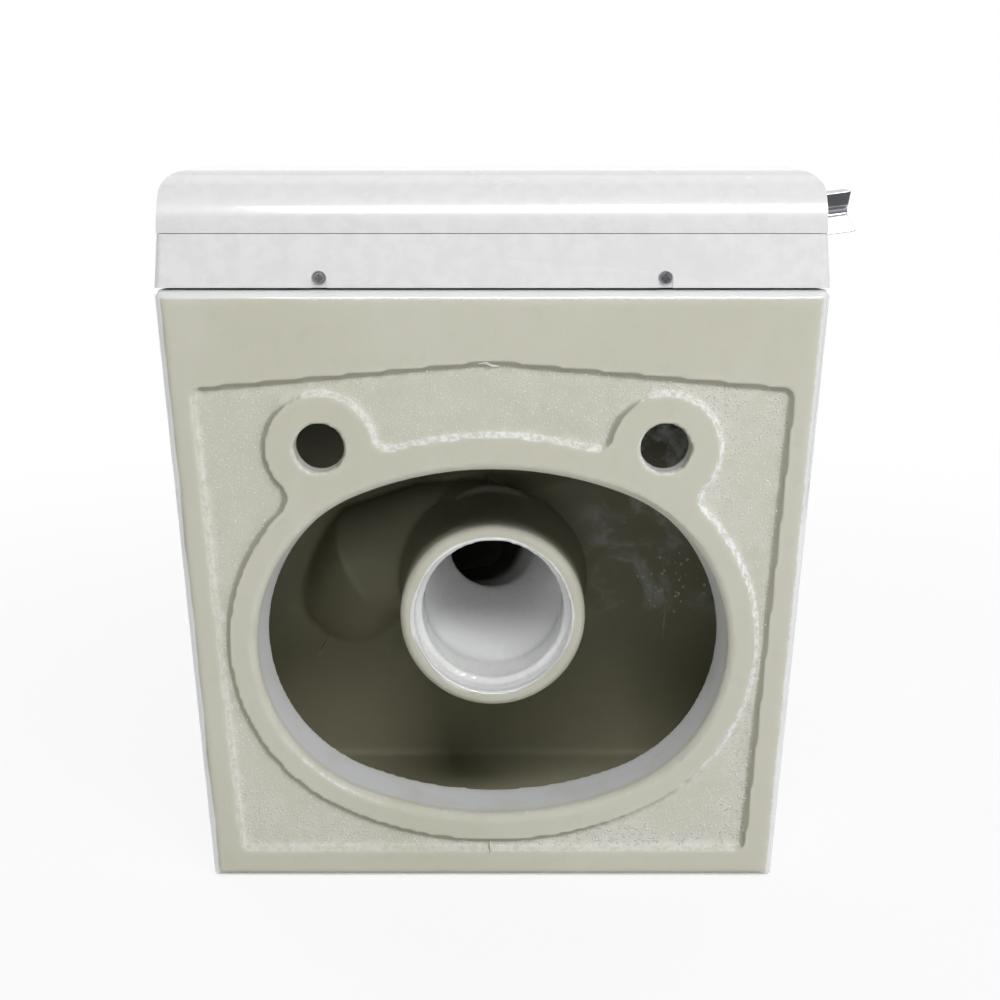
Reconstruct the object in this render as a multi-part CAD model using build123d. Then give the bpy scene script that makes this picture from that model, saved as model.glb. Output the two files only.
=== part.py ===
"""Wall-hung bidet toilet: a hollow glazed china bowl with its trap and outlet spigot, and a seat unit on its
deck with a wash nozzle, a side knob, a seat ring and a lid. Millimetres. The origin lies midway between the
two wall bolt holes, on the face that meets the wall. +Y points at the wall, +Z up, and +X is the side of
the bowl where a seated user's left hand is."""

from build123d import *
import math
import os

# Working allowances
overrun = 5.0
seat_gap = 0.3
running_clearance = 0.05
pin_clearance = 0.02
touch_gap = 0.2

# Wall interface
bolt_spacing = 180.0
bolt_hole_radius = 13.0
ear_radius = 28.5
ear_fillet = 9.0

# China body, outside
rim_height = 81.6
underside_depth = 238.0
rim_half_width = 173.2
foot_half_width = 152.0
projection = 560.0
china_wall = 12.0
back_wall = 16.0
deck_wall = 14.0
body_edge_rounding = 6.5
rim_bevel = 3.0
foot_bevel = 6.0
rear_block_length = 100.0
straight_share = 0.40
nose_share = 0.90
# height share up the body, and how far forward the underside has come there
hollow_outline_shares = ((0.0, 0.60), (0.35, 0.80), (1.0, 1.0))
# where the hollow's plan bends, as a share of the way from the shoulders to the nose
hollow_bend_shares = (0.0, 0.45, 0.75, 0.93)
body_outline_shares = ((0.0, 0.60), (0.15, 0.70), (0.35, 0.80), (0.6, 0.90), (0.8, 0.965), (1.0, 1.0))

# China body, back face: a sunk panel round a raised boss, and the oval opening
panel_depth = 3.5
panel_half_width_top = 155.5
panel_half_width_foot = 136.0
panel_side_height = 31.0
panel_peak_height = 45.0
panel_foot_depth = 221.0
panel_corner_radius = 5.0
opening_half_width = 125.4
opening_half_height = 95.3
opening_drop = 106.4
opening_end_share = 0.925
opening_draft = 3.5
opening_edge_bevel = 2.4
lip_depth = 33.0
lip_wall = 12.0
pocket_depth = 166.0
pocket_wall = 12.0
vent_radius = 10.0
vent_side = 132.0
vent_rise = 26.0
boss_band = 14.3
boss_band_top = 17.5

# China body, basin
basin_half_width = 132.0
basin_half_length = 202.0
basin_centre_reach = 322.0
basin_shoulder_height = 58.0
basin_wall = 11.0
# how far out, as a share of the outer radius, and how far down the outside has come at each bend
basin_outside_shares = ((1.0, 0.27), (0.77, 0.69), (0.35, 1.0))
basin_edge_bevel = 4.0
sump_top_radius = 60.0
sump_radius = 36.0
sump_top_drop = 50.0
sump_drop = 206.0

# Trap and outlet
outlet_drop = 100.4
outlet_set_back = 36.0
outlet_radius = 51.0
outlet_mouth_radius = 43.0
outlet_mouth_depth = 15.0
outlet_bore_radius = 39.25
outlet_end_bevel = 2.5
outlet_straight = 44.0
outlet_root_radius = 56.0
trap_bore_radius = 25.0
trap_wall = 11.0
trap_bend_radius = 41.0
weir_drop = 78.0
weir_start_reach = 112.0
weir_turn_reach = 154.0
trap_side_reach = 86.0
trap_side_drop = 96.0
trap_low_drop = 180.0
trap_steps = 9
flush_inlet_radius = 22.5
flush_inlet_rise = 34.6
flush_collar_wall = 9.0
flush_collar_reach = 60.0

# Seat fixings through the deck
deck_bolt_spacing = 155.0
deck_bolt_reach = 50.0
deck_hole_radius = 7.0
deck_bolt_radius = 3.0
bush_flange_radius = 10.0
bush_flange_thickness = 10.0
bolt_head_radius = 6.0
bolt_head_height = 3.2
head_bevel = 1.0
nut_radius = 7.5
nut_height = 6.0
bolt_tail = 3.0
plate_half_width = 104.0
plate_reach = (28.0, 74.0)
plate_thickness = 2.4
plate_corner_radius = 6.0
plate_slot_length = 18.0
plate_window_half_width = 52.0
plate_window_margin = 11.5

# Seat unit casing
case_back_set_back = 5.0
case_reach = 128.0
case_bottom = 82.7
case_seam = 110.1
case_top = 141.0
case_half_width_bottom = 173.2
case_half_width_seam = 171.1
case_half_width_top = 170.2
case_wall = 3.0
case_back_curve = 30.0
case_top_corner_radius = 11.0
case_flat_end_reach = 98.0
case_front_top = 139.0
case_front_rounding = 7.0
case_corner_radius = 3.5
seam_gap = 0.35
tongue_height = 3.0
tongue_wall = 1.4

# Hinge bays
bay_inner = 98.0
bay_outer = 147.0
bay_reach = 98.0
hinge_reach = 115.0
hinge_height = 125.0
hinge_radius = 12.0
pin_radius = 4.0
pin_inner_end = 70.0
pin_outer_end = 160.0
barrel_gap = 0.6
seat_barrel_length = 23.0
damper_radius = 9.0
damper_length = 24.0
damper_foot_width = 9.0
bracket_thickness = 8.0
bracket_half_length = 8.0
bracket_bevel = 4.0

# Chassis
floor_bottom = 86.0
floor_thickness = 2.5
rail_thickness = 3.0
pad_half_width = 8.0
pad_spread = 138.0
pad_reaches = (24.0, 84.0)
boss_radius = 4.5
boss_length = 14.0

# Casing screws
screw_spacing = 177.2
screw_height = 87.5
screw_head_radius = 3.3
screw_head_height = 1.9
screw_head_bevel = (0.95, 0.65)
screw_radius = 1.75
screw_length = 12.0
screw_recess_width = 7.8
screw_recess_depth = 1.6
cross_length = 3.6
cross_width = 0.8
cross_depth = 0.9

# Wash nozzle
nozzle_slope = 20.0
nozzle_front_height = 92.0
nozzle_radius = 5.5
cylinder_radius = 8.5
cylinder_front_reach = 103.0
cylinder_length = 72.0
cylinder_end_wall = 3.0
piston_radius = 7.2
piston_length = 7.0
tip_length = 14.0
spray_hole_radius = 1.0
spray_hole_spread = 2.4
cap_width = 21.0
cap_height = 15.0
cap_thickness = 2.4
cap_gap = 0.6
cap_corner_radius = 2.5
saddle_width = 24.0
saddle_length = 12.0
saddle_reaches = (56.0, 92.0)

# Control knob and valve
knob_reach = 70.0
knob_height = 116.5
knob_inner_end = 176.2
knob_depth = 18.6
knob_half_height = 11.5
knob_lobe_half_width = 12.0
knob_waist_half_width = 6.0
knob_edge_bevel = 1.0
knob_flare = 1.3
escutcheon_radius = 12.0
escutcheon_thickness = 1.6
spindle_radius = 4.0
spindle_inner_end = 128.0
valve_radius = 12.0
valve_range = (120.0, 160.0)
valve_nose_radius = 6.5
valve_foot_width = 18.0
valve_nose_length = 3.0
seal_length = 3.0

# Water inlet and hoses
inlet_reach = 70.0
inlet_height = 98.0
inlet_radius = 8.3
inlet_bore_radius = 5.5
inlet_outer_end = 170.6
inlet_inner_end = 150.0
inlet_body_radius = 9.4
inlet_body_end = 122.0
inlet_pocket_radius = 11.8
inlet_bore_depth = 24.0
inlet_foot_width = 9.4
hose_radius = 4.2
hose_bend_radius = 17.0
barb_length = 9.0
clip_wall = 1.6
clip_width = 7.0
clip_spread = 52.0

# Seat ring
seat_half_width = 178.0
seat_front_reach = 566.0
seat_rear_reach = 132.0
seat_bottom = 88.0
seat_top = 106.0
seat_hole_half_width = 112.0
seat_hole_half_length = 150.0
seat_hole_reach = 348.0
seat_edge_rounding = 6.0
seat_hole_bevel = 3.0
seat_corner_radius = 16.0
seat_relief_half_width = 14.0
seat_relief_reach = 172.0
seat_relief_top = 101.0
bumper_size = (12.0, 20.0)
bumper_draft = 1.0
bumper_reaches = (255.0, 455.0)
arm_wall = 16.0

# Lid
lid_half_width = 180.5
lid_front_reach = 569.0
lid_rear_reach = 134.0
lid_skirt_bottom = 107.4
lid_rear_top = 138.4
lid_front_top = 119.0
lid_wall = 3.0
lid_edge_rounding = 7.0
lid_inner_bevel = 4.0
lid_bumper_half_width = 5.0
lid_bumper_height = 4.5
lid_bumper_reaches = (200.0, 500.0)

os.makedirs("parts", exist_ok=True)


# Shapes that several pieces share


def block(across, along, up):
    """A box between two values on each axis."""
    spans = (across, along, up)
    middle = [(low + high) / 2 for low, high in spans]
    return Pos(*middle) * Box(*[high - low for low, high in spans])


def span(width, middle=0):
    """The low and high values of a width about its middle."""
    return (middle - width / 2, middle + width / 2)


def rod_x(radius, across, y, z):
    low, high = across
    return Pos((low + high) / 2, y, z) * Rot(0, 90, 0) * Cylinder(radius, high - low)


def rod_y(radius, x, along, z):
    low, high = along
    return Pos(x, (low + high) / 2, z) * Rot(90, 0, 0) * Cylinder(radius, high - low)


def rod_z(radius, x, y, up):
    low, high = up
    return Pos(x, y, (low + high) / 2) * Cylinder(radius, high - low)


def both_sides(shape):
    """The shape and its mirror image across the middle of the toilet."""
    return [shape, mirror(shape, about=Plane.YZ)]


def tube_along(path, radius):
    return sweep(Plane(origin=path @ 0, z_dir=path % 0) * Circle(radius), path=path)


def side_profile(points, across):
    """A closed outline of (y, z) points pulled from one x to another."""
    low, high = across
    outline = Polyline(*[(low, y, z) for y, z in points], close=True)
    return extrude(make_face(outline), amount=high - low, dir=(1, 0, 0))


def front_arcs(half_width, reach, straight):
    """Sizes of a rounded front: its nose arc's radius and depth, and its shoulder arcs' radius and centre."""
    nose = half_width * nose_share
    depth = reach - straight - nose
    shoulder = (half_width**2 + depth**2 - nose**2) / (2 * (half_width - nose))
    return nose, depth, shoulder, half_width - shoulder


def front_outline(half_width, reach, back, straight, level, corner=0):
    """A plan outline, straight across the back and down both sides, with a front of three tangent arcs."""
    nose, depth, shoulder, centre = front_arcs(half_width, reach, straight)
    turn = math.degrees(math.atan2(depth, -centre))
    edges = [
        Line((half_width, back), (half_width, -straight)),
        CenterArc((centre, -straight), shoulder, -turn, turn),
        CenterArc((0, -straight - depth), nose, turn - 180, 180 - 2 * turn),
        CenterArc((-centre, -straight), shoulder, 180, turn),
        Line((-half_width, -straight), (-half_width, back)),
        Line((-half_width, back), (half_width, back)),
    ]
    face = make_face(edges)
    if corner:
        face = fillet([v for v in face.vertices() if v.Y > back - touch_gap], corner)
    return Pos(0, 0, level) * face


def hollow_outline(half_width, reach, back, straight, level):
    """A plan outline of straight runs that stays inside the front outline of the same sizes."""
    bends = [straight + (reach - straight) * share for share in hollow_bend_shares]
    side = [(front_half_width(half_width, reach, straight, bend), -bend) for bend in bends]
    points = [(half_width, back), *side, *[(-x, y) for x, y in reversed(side)], (-half_width, back)]
    return Pos(0, 0, level) * make_face(Polyline(*points, close=True))


def front_half_width(half_width, front_reach, straight, reach):
    """The half width of a rounded front at a reach from the wall."""
    nose, depth, shoulder, centre = front_arcs(half_width, front_reach, straight)
    if reach <= straight:
        return half_width
    across = centre + math.sqrt(shoulder**2 - (reach - straight) ** 2)
    past = reach - straight - depth
    if past > 0:
        across = min(across, math.sqrt(max(0, nose**2 - past**2)))
    return across


def oval_long_radius(half_width, half_height, end_radius):
    """The radius of the flatter arcs that run tangent between an oval's ends."""
    run = half_width - end_radius
    return (run**2 + half_height**2 - end_radius**2) / (2 * (half_height - end_radius))


def oval(half_width, half_height, end_radius, set_back, drop):
    """A level oval of four tangent arcs on a plane parallel to the wall."""
    run = half_width - end_radius
    long_radius = oval_long_radius(half_width, half_height, end_radius)
    long_offset = long_radius - half_height
    lean = math.degrees(math.atan2(long_offset, run))
    arcs = [
        CenterArc((run, 0), end_radius, -lean, 2 * lean),
        CenterArc((0, -long_offset), long_radius, lean, 180 - 2 * lean),
        CenterArc((-run, 0), end_radius, 180 - lean, 2 * lean),
        CenterArc((0, long_offset), long_radius, 180 + lean, 180 - 2 * lean),
    ]
    return Plane.XZ.offset(set_back) * Pos(0, -drop) * make_face(arcs)


# China bowl


def body_half_width(level):
    """Half the width of the back at a height."""
    share = (level + underside_depth) / (rim_height + underside_depth)
    return foot_half_width + (rim_half_width - foot_half_width) * share


def body_block(inset, shares, outline, bottom, top, back):
    """The body as a solid, drawn in by an inset: a tapered block behind, lofted into the front."""
    sections = []
    for height_share, reach_share in shares:
        level = bottom + height_share * (top - bottom)
        straight = projection * straight_share * reach_share
        size = (body_half_width(level) - inset, projection * reach_share - inset)
        sections.append(outline(*size, -rear_block_length, straight, level))
    low, high = body_half_width(bottom) - inset, body_half_width(top) - inset
    section = Polyline((-low, bottom), (low, bottom), (high, top), (-high, top), close=True)
    rear = extrude(Plane.XZ.offset(-back) * make_face(section), amount=rear_block_length + back)
    return loft(sections, ruled=inset > 0), rear


def basin_section():
    """Half of the basin's upright section: a straight wall over a quarter circle."""
    radius, middle = basin_half_width, basin_shoulder_height
    edges = [
        Line((0, rim_height), (radius, rim_height)),
        Line((radius, rim_height), (radius, middle)),
        CenterArc((0, middle), radius, -90, 90),
        Line((0, middle - radius), (0, rim_height)),
    ]
    return Plane.XZ * make_face(edges)


def basin_outside_section():
    """Half of the upright section of the basin's wall, where it is bare: straight runs round the hollow."""
    radius = basin_half_width + basin_wall
    bends = [(radius * out, basin_shoulder_height - radius * down) for out, down in basin_outside_shares]
    foot = (0, basin_shoulder_height - radius)
    return Plane.XZ * make_face(Polyline((0, rim_height), (radius, rim_height), *bends, foot, close=True))


def basin_block(half, grow):
    """A round-ended trough of that half section with a sump at its rear."""
    run = basin_half_length - basin_half_width
    rear, front = -basin_centre_reach + run, -basin_centre_reach - run
    basin = revolve(Pos(0, rear, 0) * half, Axis((0, rear, 0), (0, 0, 1)), 180)
    basin += revolve(Pos(0, front, 0) * half, Axis((0, front, 0), (0, 0, -1)), 180)
    for side in both_sides(extrude(Pos(0, front, 0) * half, amount=2 * run, dir=(0, 1, 0))):
        basin += side
    height = sump_drop + grow - sump_top_drop
    sump = Cone(sump_radius + grow, sump_top_radius + grow, height)
    return basin + Pos(0, -sump_reach(), -sump_top_drop - height / 2) * sump


def sump_reach():
    """The sump lies under the centre of the basin's rear end."""
    return basin_centre_reach - basin_half_length + basin_half_width


def trap_path():
    points = (
        (0, -weir_start_reach, -weir_drop),
        (0, -weir_turn_reach, -weir_drop),
        (trap_side_reach, -weir_turn_reach, -trap_side_drop),
        (trap_side_reach, -sump_reach(), -trap_low_drop),
        (0, -sump_reach(), -trap_low_drop),
    )
    return FilletPolyline(*points, radius=trap_bend_radius)


def trap_tube(radius):
    """A tube along the trap, drawn from ring to ring."""
    path = trap_path()
    rings = []
    for step in range(trap_steps + 1):
        share = step / trap_steps
        rings.append(Plane(origin=path @ share, z_dir=path % share) * Circle(radius))
    return loft(rings, ruled=True)


def outlet_funnel():
    """The sloping way from the weir down to the outlet."""
    straight_end = outlet_set_back + outlet_straight
    wide = Plane.XZ.offset(straight_end) * Pos(0, -outlet_drop) * Circle(outlet_bore_radius)
    narrow = Plane.XZ.offset(weir_start_reach) * Pos(0, -weir_drop) * Circle(trap_bore_radius)
    return loft([wide, narrow], ruled=True)


def waterway():
    """The hollow from the sump over the weir to the outlet's mouth."""
    straight_end = outlet_set_back + outlet_straight
    hollow = rod_y(outlet_bore_radius, 0, (-straight_end, -outlet_set_back + overrun), -outlet_drop)
    mouth_end = outlet_set_back + outlet_mouth_depth
    hollow += rod_y(outlet_mouth_radius, 0, (-mouth_end, -outlet_set_back + overrun), -outlet_drop)
    hollow += outlet_funnel()
    hollow += trap_tube(trap_bore_radius)
    return hollow


def waterway_outside():
    """The trap's outer wall and the spigot, with a root that spreads over the way down from the weir."""
    straight_end = outlet_set_back + outlet_straight
    spigot = rod_y(outlet_radius, 0, (-straight_end, -outlet_set_back), -outlet_drop)
    spigot = chamfer(spigot.edges().sort_by(Axis.Y)[-1], outlet_end_bevel)
    length = weir_start_reach + trap_wall - straight_end
    root = Rot(90, 0, 0) * Cone(outlet_radius, outlet_root_radius, length)
    root = Pos(0, -straight_end - length / 2, -outlet_drop) * root
    return spigot + root + trap_tube(trap_bore_radius + trap_wall)


def back_boss():
    """The raised ring round the opening with an ear at each bolt hole."""
    half_width = opening_half_width + boss_band
    half_height = opening_half_height + (boss_band + boss_band_top) / 2
    drop = opening_drop - (boss_band_top - boss_band) / 2
    ring = oval(half_width, half_height, half_height * opening_end_share, 0, drop)
    for side in (-1, 1):
        ring += Plane.XZ * Pos(side * bolt_spacing / 2, 0) * Circle(ear_radius)
    corners = [v for v in ring.vertices() if is_ear_corner(v)]
    return fillet(corners, ear_fillet)


def is_ear_corner(vertex):
    """True where an ear's circle meets the ring."""
    across = abs(vertex.X) - bolt_spacing / 2
    return abs(math.hypot(across, vertex.Z) - ear_radius) < pin_clearance and vertex.Z < 0


def back_panel():
    """The sunk panel: what is cut from the back face, apart from the boss."""
    points = (
        (-panel_half_width_top, panel_side_height),
        (0, panel_peak_height),
        (panel_half_width_top, panel_side_height),
        (panel_half_width_foot, -panel_foot_depth),
        (-panel_half_width_foot, -panel_foot_depth),
    )
    face = make_face(Polyline(*points, close=True))
    corners = [v for v in face.vertices() if abs(v.X) > panel_corner_radius]
    face = Plane.XZ * fillet(corners, panel_corner_radius)
    return extrude(face - back_boss(), amount=panel_depth)


def rear_opening():
    ends = opening_half_height * opening_end_share
    outer = oval(opening_half_width, opening_half_height, ends, 0, opening_drop)
    sizes = [size - opening_draft for size in (opening_half_width, opening_half_height, ends)]
    inner = oval(*sizes, lip_depth, opening_drop)
    return loft([outer, inner], ruled=True)


def rear_lip():
    """The turned-in wall round the opening."""
    half_width = opening_half_width + lip_wall
    half_height = opening_half_height + lip_wall
    lip = oval(half_width, half_height, half_height * opening_end_share, 0, opening_drop)
    return extrude(lip, amount=lip_depth)


def pocket_back():
    """The wall that closes the rear pocket in front, with the hole that lets the cast run out."""
    along = (-pocket_depth - pocket_wall, -pocket_depth)
    wall = block(span(2 * rim_half_width), along, (-underside_depth, rim_height))
    return wall - rod_y(vent_radius, -vent_side, (along[0] - overrun, along[1] + overrun), vent_rise)


def ceramic_bowl():
    front, rear = body_block(0, body_outline_shares, front_outline, -underside_depth, rim_height, 0)
    front = soften_front(front)
    rear = fillet(rear.faces().sort_by(Axis.Y)[-1].edges(), body_edge_rounding)
    hollow_sizes = (-underside_depth + china_wall, deck_underside(), -back_wall)
    hollow_front, hollow_rear = body_block(china_wall, hollow_outline_shares, hollow_outline, *hollow_sizes)
    hollow = hollow_front + hollow_rear
    hollow -= pocket_back()
    hollow -= basin_block(basin_outside_section(), basin_wall)
    hollow -= waterway_outside()
    hollow -= rear_lip()
    hollow -= flush_way(flush_inlet_radius + flush_collar_wall, flush_collar_reach)
    body = front + rear
    body -= hollow
    body -= basin_block(basin_section(), 0)
    body -= waterway()
    body -= rear_opening()
    body -= back_panel()
    for side in (-1, 1):
        body -= rod_y(bolt_hole_radius, side * bolt_spacing / 2, (-back_wall - overrun, overrun), 0)
        deck_range = (deck_underside() - overrun, rim_height + overrun)
        body -= rod_z(deck_hole_radius, side * deck_bolt_spacing / 2, -deck_bolt_reach, deck_range)
    body -= flush_way(flush_inlet_radius, flush_collar_reach - overrun)
    return soften_casting(body)


def flush_way(radius, start_reach):
    """The level way for the flush water into the back of the basin, or with a wall added its collar."""
    return rod_y(radius, 0, (-basin_centre_reach, -start_reach), flush_inlet_rise)


def back_edges(body):
    """The edges that lie on the face that meets the wall."""
    return [e for e in body.edges() if abs(e.center().Y) < pin_clearance]


def is_opening_arc(edge):
    end_radius = opening_half_height * opening_end_share
    long_radius = oval_long_radius(opening_half_width, opening_half_height, end_radius)
    return is_near(edge.radius, (end_radius, long_radius))


def soften_front(front):
    """Bevels the rim's and the foot's outer edges, as far back as the front reaches."""
    for pick, bevel in ((-1, rim_bevel), (0, foot_bevel)):
        level_face = front.faces().sort_by(Axis.Z)[pick]
        edges = [e for e in level_face.edges() if e.center().Y < -rear_block_length - touch_gap]
        front = chamfer(edges, bevel)
    return front


def soften_casting(body):
    """Takes the sharpness off the edges of the basin and the rear opening."""
    rim_edges = body.faces().sort_by(Axis.Z)[-1].edges()
    body = chamfer([e for e in rim_edges if is_basin_edge(e)], basin_edge_bevel)
    opening_edge = [e for e in back_edges(body) if e.geom_type == GeomType.CIRCLE and is_opening_arc(e)]
    return chamfer(opening_edge, opening_edge_bevel)


def is_basin_edge(edge):
    """True for the edges between the rim and the basin."""
    box = edge.bounding_box()
    rear, front = basin_half_length - basin_centre_reach, -basin_half_length - basin_centre_reach
    inside = box.max.Y < rear + touch_gap and box.min.Y > front - touch_gap
    return inside and max(-box.min.X, box.max.X) < basin_half_width + touch_gap


def is_near(value, targets):
    return min(abs(value - target) for target in targets) < pin_clearance


# Fixings through the deck


def deck_places():
    return [(side * deck_bolt_spacing / 2, -deck_bolt_reach) for side in (-1, 1)]


def deck_underside():
    return rim_height - deck_wall


def plate_top():
    return rim_height + plate_thickness


def nut_top():
    """How high the nuts reach: up to the bushes' lower ends."""
    return deck_underside() - touch_gap - bush_flange_thickness


def deck_bushes():
    """Rubber bushes that fill the deck holes from a thick flange under the deck."""
    under = deck_underside() - touch_gap
    bushes = []
    for x, y in deck_places():
        bush = rod_z(deck_hole_radius - seat_gap, x, y, (nut_top(), rim_height - touch_gap))
        bush += rod_z(bush_flange_radius, x, y, (nut_top(), under))
        hole = rod_z(deck_bolt_radius + running_clearance, x, y, (nut_top() - overrun, plate_top()))
        bushes.append(bush - hole)
    return bushes


def deck_nuts():
    """Nuts that draw the bushes up."""
    low = nut_top() - nut_height
    nuts = []
    for x, y in deck_places():
        nut = extrude(Pos(x, y, low) * RegularPolygon(nut_radius, 6), amount=nut_height)
        hole = rod_z(deck_bolt_radius + running_clearance, x, y, (low - overrun, nut_top() + overrun))
        nuts.append(nut - hole)
    return nuts


def deck_bolts():
    low = nut_top() - nut_height - bolt_tail
    bolts = []
    for x, y in deck_places():
        head = rod_z(bolt_head_radius, x, y, (plate_top(), plate_top() + bolt_head_height))
        head = chamfer(head.edges().sort_by(Axis.Z)[-1], head_bevel)
        bolts.append(head + rod_z(deck_bolt_radius, x, y, (low, plate_top())))
    return bolts


def mounting_plate():
    """The flat plate that the seat unit clips down on, with a slot for each bolt and a window between."""
    near, far = plate_reach
    at = Pos(0, -(near + far) / 2, rim_height)
    outline = at * RectangleRounded(2 * plate_half_width, far - near, plate_corner_radius)
    plate = extrude(outline, amount=plate_thickness)
    for x, y in deck_places():
        slot = SlotOverall(plate_slot_length, 2 * deck_bolt_radius + seat_gap)
        plate -= extrude(Pos(x, y, rim_height) * Rot(0, 0, 90) * slot, amount=plate_thickness)
    window = Rectangle(2 * plate_window_half_width, far - near - 2 * plate_window_margin)
    return plate - extrude(at * window, amount=plate_thickness)


# Casing of the seat unit


def case_half_width(level):
    """The casing's half width, drawn in as it rises."""
    if level <= case_seam:
        share = (level - case_bottom) / (case_seam - case_bottom)
        return case_half_width_bottom + (case_half_width_seam - case_half_width_bottom) * share
    share = (level - case_seam) / (case_top - case_seam)
    return case_half_width_seam + (case_half_width_top - case_half_width_seam) * share


def hinge_bays(grow, up):
    """The two slots in the front of the casing where the hinge barrels lie."""
    along = (-case_reach - overrun, -bay_reach + grow)
    return both_sides(block((bay_inner - grow, bay_outer + grow), along, up))


def band_block(inset, bottom, top):
    """The casing's lower band as a solid, or drawn in by an inset with plain corners."""
    length = case_reach - case_back_set_back - 2 * inset
    middle = -(case_reach + case_back_set_back) / 2
    sections = []
    for level in (bottom, top):
        width = 2 * (case_half_width(level) - inset)
        outline = Rectangle(width, length) if inset else RectangleRounded(width, length, case_corner_radius)
        sections.append(Pos(0, middle, level) * outline)
    return loft(sections, ruled=True)


def screw_places():
    return [side * screw_spacing / 2 for side in (-1, 1)]


def screw_recess(x):
    """A shallow channel in the back of the band, open at the bottom and round above the screw."""
    back = -case_back_set_back
    floor = back - screw_recess_depth
    half_width = screw_recess_width / 2
    across = (x - half_width, x + half_width)
    channel = block(across, (floor, back + overrun), (case_bottom - overrun, screw_height))
    return channel + rod_y(half_width, x, (floor, back + overrun), screw_height)


def nozzle_window():
    """The opening in the casing's front that the nozzle's cap closes."""
    half_width = cap_width / 2 + cap_gap
    half_height = cap_height / 2 + cap_gap
    up = (nozzle_front_height - half_height, nozzle_front_height + half_height)
    return block((-half_width, half_width), (-case_reach - overrun, -bay_reach), up)


def band_outline(inset, bottom, top):
    """The band or what is inside it, cut round the hinge bays."""
    shape = band_block(inset, bottom, top)
    for bay in hinge_bays(inset, (bottom - overrun, top + overrun)):
        shape -= bay
    return shape


def rear_housing():
    """The lower band of the casing, with the screw recesses, the water inlet's pocket and a tongue on top."""
    tongue_inset = case_wall + seat_gap
    tongue_low = case_seam - tongue_height
    tongue_high = case_seam + tongue_height
    band = band_outline(0, case_bottom, case_seam) - band_outline(case_wall, case_bottom, case_seam)
    tongue_inside = band_outline(tongue_inset + tongue_wall, tongue_low, tongue_high)
    ledge = band_outline(case_wall, tongue_low, case_seam) - tongue_inside
    band += ledge + (band_outline(tongue_inset, tongue_low, tongue_high) - tongue_inside)
    hole = (-case_back_set_back - case_wall - overrun, 0)
    for x in screw_places():
        band -= screw_recess(x)
        band -= rod_y(screw_radius + seat_gap, x, hole, screw_height)
    pocket = (inlet_inner_end, case_half_width_bottom + overrun)
    band -= rod_x(inlet_pocket_radius, pocket, -inlet_reach, inlet_height)
    band -= nozzle_window()
    return band - knob_hole()


def knob_hole():
    """The hole that the valve's spindle comes out through, half in the band and half in the cover."""
    across = (-case_half_width_bottom - overrun, -case_half_width_top + 2 * case_wall)
    return rod_x(spindle_radius + seat_gap, across, -knob_reach, knob_height)


def cover_block(inset):
    """The cover as a solid: a rounded back, a level top that dips forward, and round shoulders."""
    back = -case_back_set_back - inset
    front = -case_reach + inset
    curve = case_back_curve - inset
    top = case_top - inset
    front_top = case_front_top - inset
    low = case_seam + seam_gap - (overrun if inset else 0)
    top_points = ((back - curve, top), (-case_flat_end_reach, top), (front, front_top))
    outline = [
        CenterArc((back - curve, top - curve), curve, 0, 90),
        Polyline(*top_points, (front, low), (back, low), (back, top - curve)),
    ]
    face = make_face(outline)
    front_corner = [v for v in face.vertices() if v.X < front + touch_gap and v.Y > case_seam + overrun]
    face = fillet(front_corner, case_front_rounding - inset)
    face = Plane.YZ.offset(-case_half_width_seam - overrun) * face
    return extrude(face, amount=2 * (case_half_width_seam + overrun), dir=(1, 0, 0)) & shoulder_block(inset)


def shoulder_block(inset):
    """The outline of the cover seen from the wall, with its round shoulders."""
    wide = case_half_width(case_seam) - inset
    narrow = case_half_width_top - inset
    low = case_seam - overrun
    points = ((-wide, low), (-narrow, case_top - inset), (narrow, case_top - inset), (wide, low))
    face = make_face(Polyline(*points, close=True))
    corners = [v for v in face.vertices() if v.Y > case_seam]
    face = Plane.XZ * fillet(corners, case_top_corner_radius - inset)
    return extrude(face, amount=case_reach + overrun)


def top_cover():
    """The upper shell of the casing, with its hinge bays and the holes for the hinge pins and the knob."""
    up = (case_bottom - overrun, case_top + overrun)
    outer = cover_block(0)
    for bay in hinge_bays(0, up):
        outer -= bay
    inner = cover_block(case_wall)
    for bay in hinge_bays(case_wall, up):
        inner -= bay
    cover = outer - inner
    pin_span = (bay_inner - case_wall - overrun, bay_outer + case_wall + overrun)
    for hole in both_sides(rod_x(pin_radius + seat_gap, pin_span, -hinge_reach, hinge_height)):
        cover -= hole
    return cover - knob_hole()


def housing_screws():
    """Pan head screws with a cross recess, driven through the band into the chassis."""
    seat = -case_back_set_back - screw_recess_depth
    cut = (seat + screw_head_height - cross_depth, seat + screw_head_height + overrun)
    screws = []
    for x in screw_places():
        head = rod_y(screw_head_radius, x, (seat, seat + screw_head_height), screw_height)
        head = chamfer(head.edges().sort_by(Axis.Y)[-1], *screw_head_bevel)
        head -= Pos(x, 0, screw_height) * block(span(cross_length), cut, span(cross_width))
        head -= Pos(x, 0, screw_height) * block(span(cross_width), cut, span(cross_length))
        screws.append(head + rod_y(screw_radius, x, (seat - screw_length, seat), screw_height))
    return screws


# Chassis


def floor_top():
    return floor_bottom + floor_thickness


def casing_depth():
    """How far the casing's wall and its tongue reach inward, with a gap beyond."""
    return case_wall + tongue_wall + 2 * seat_gap


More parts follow.
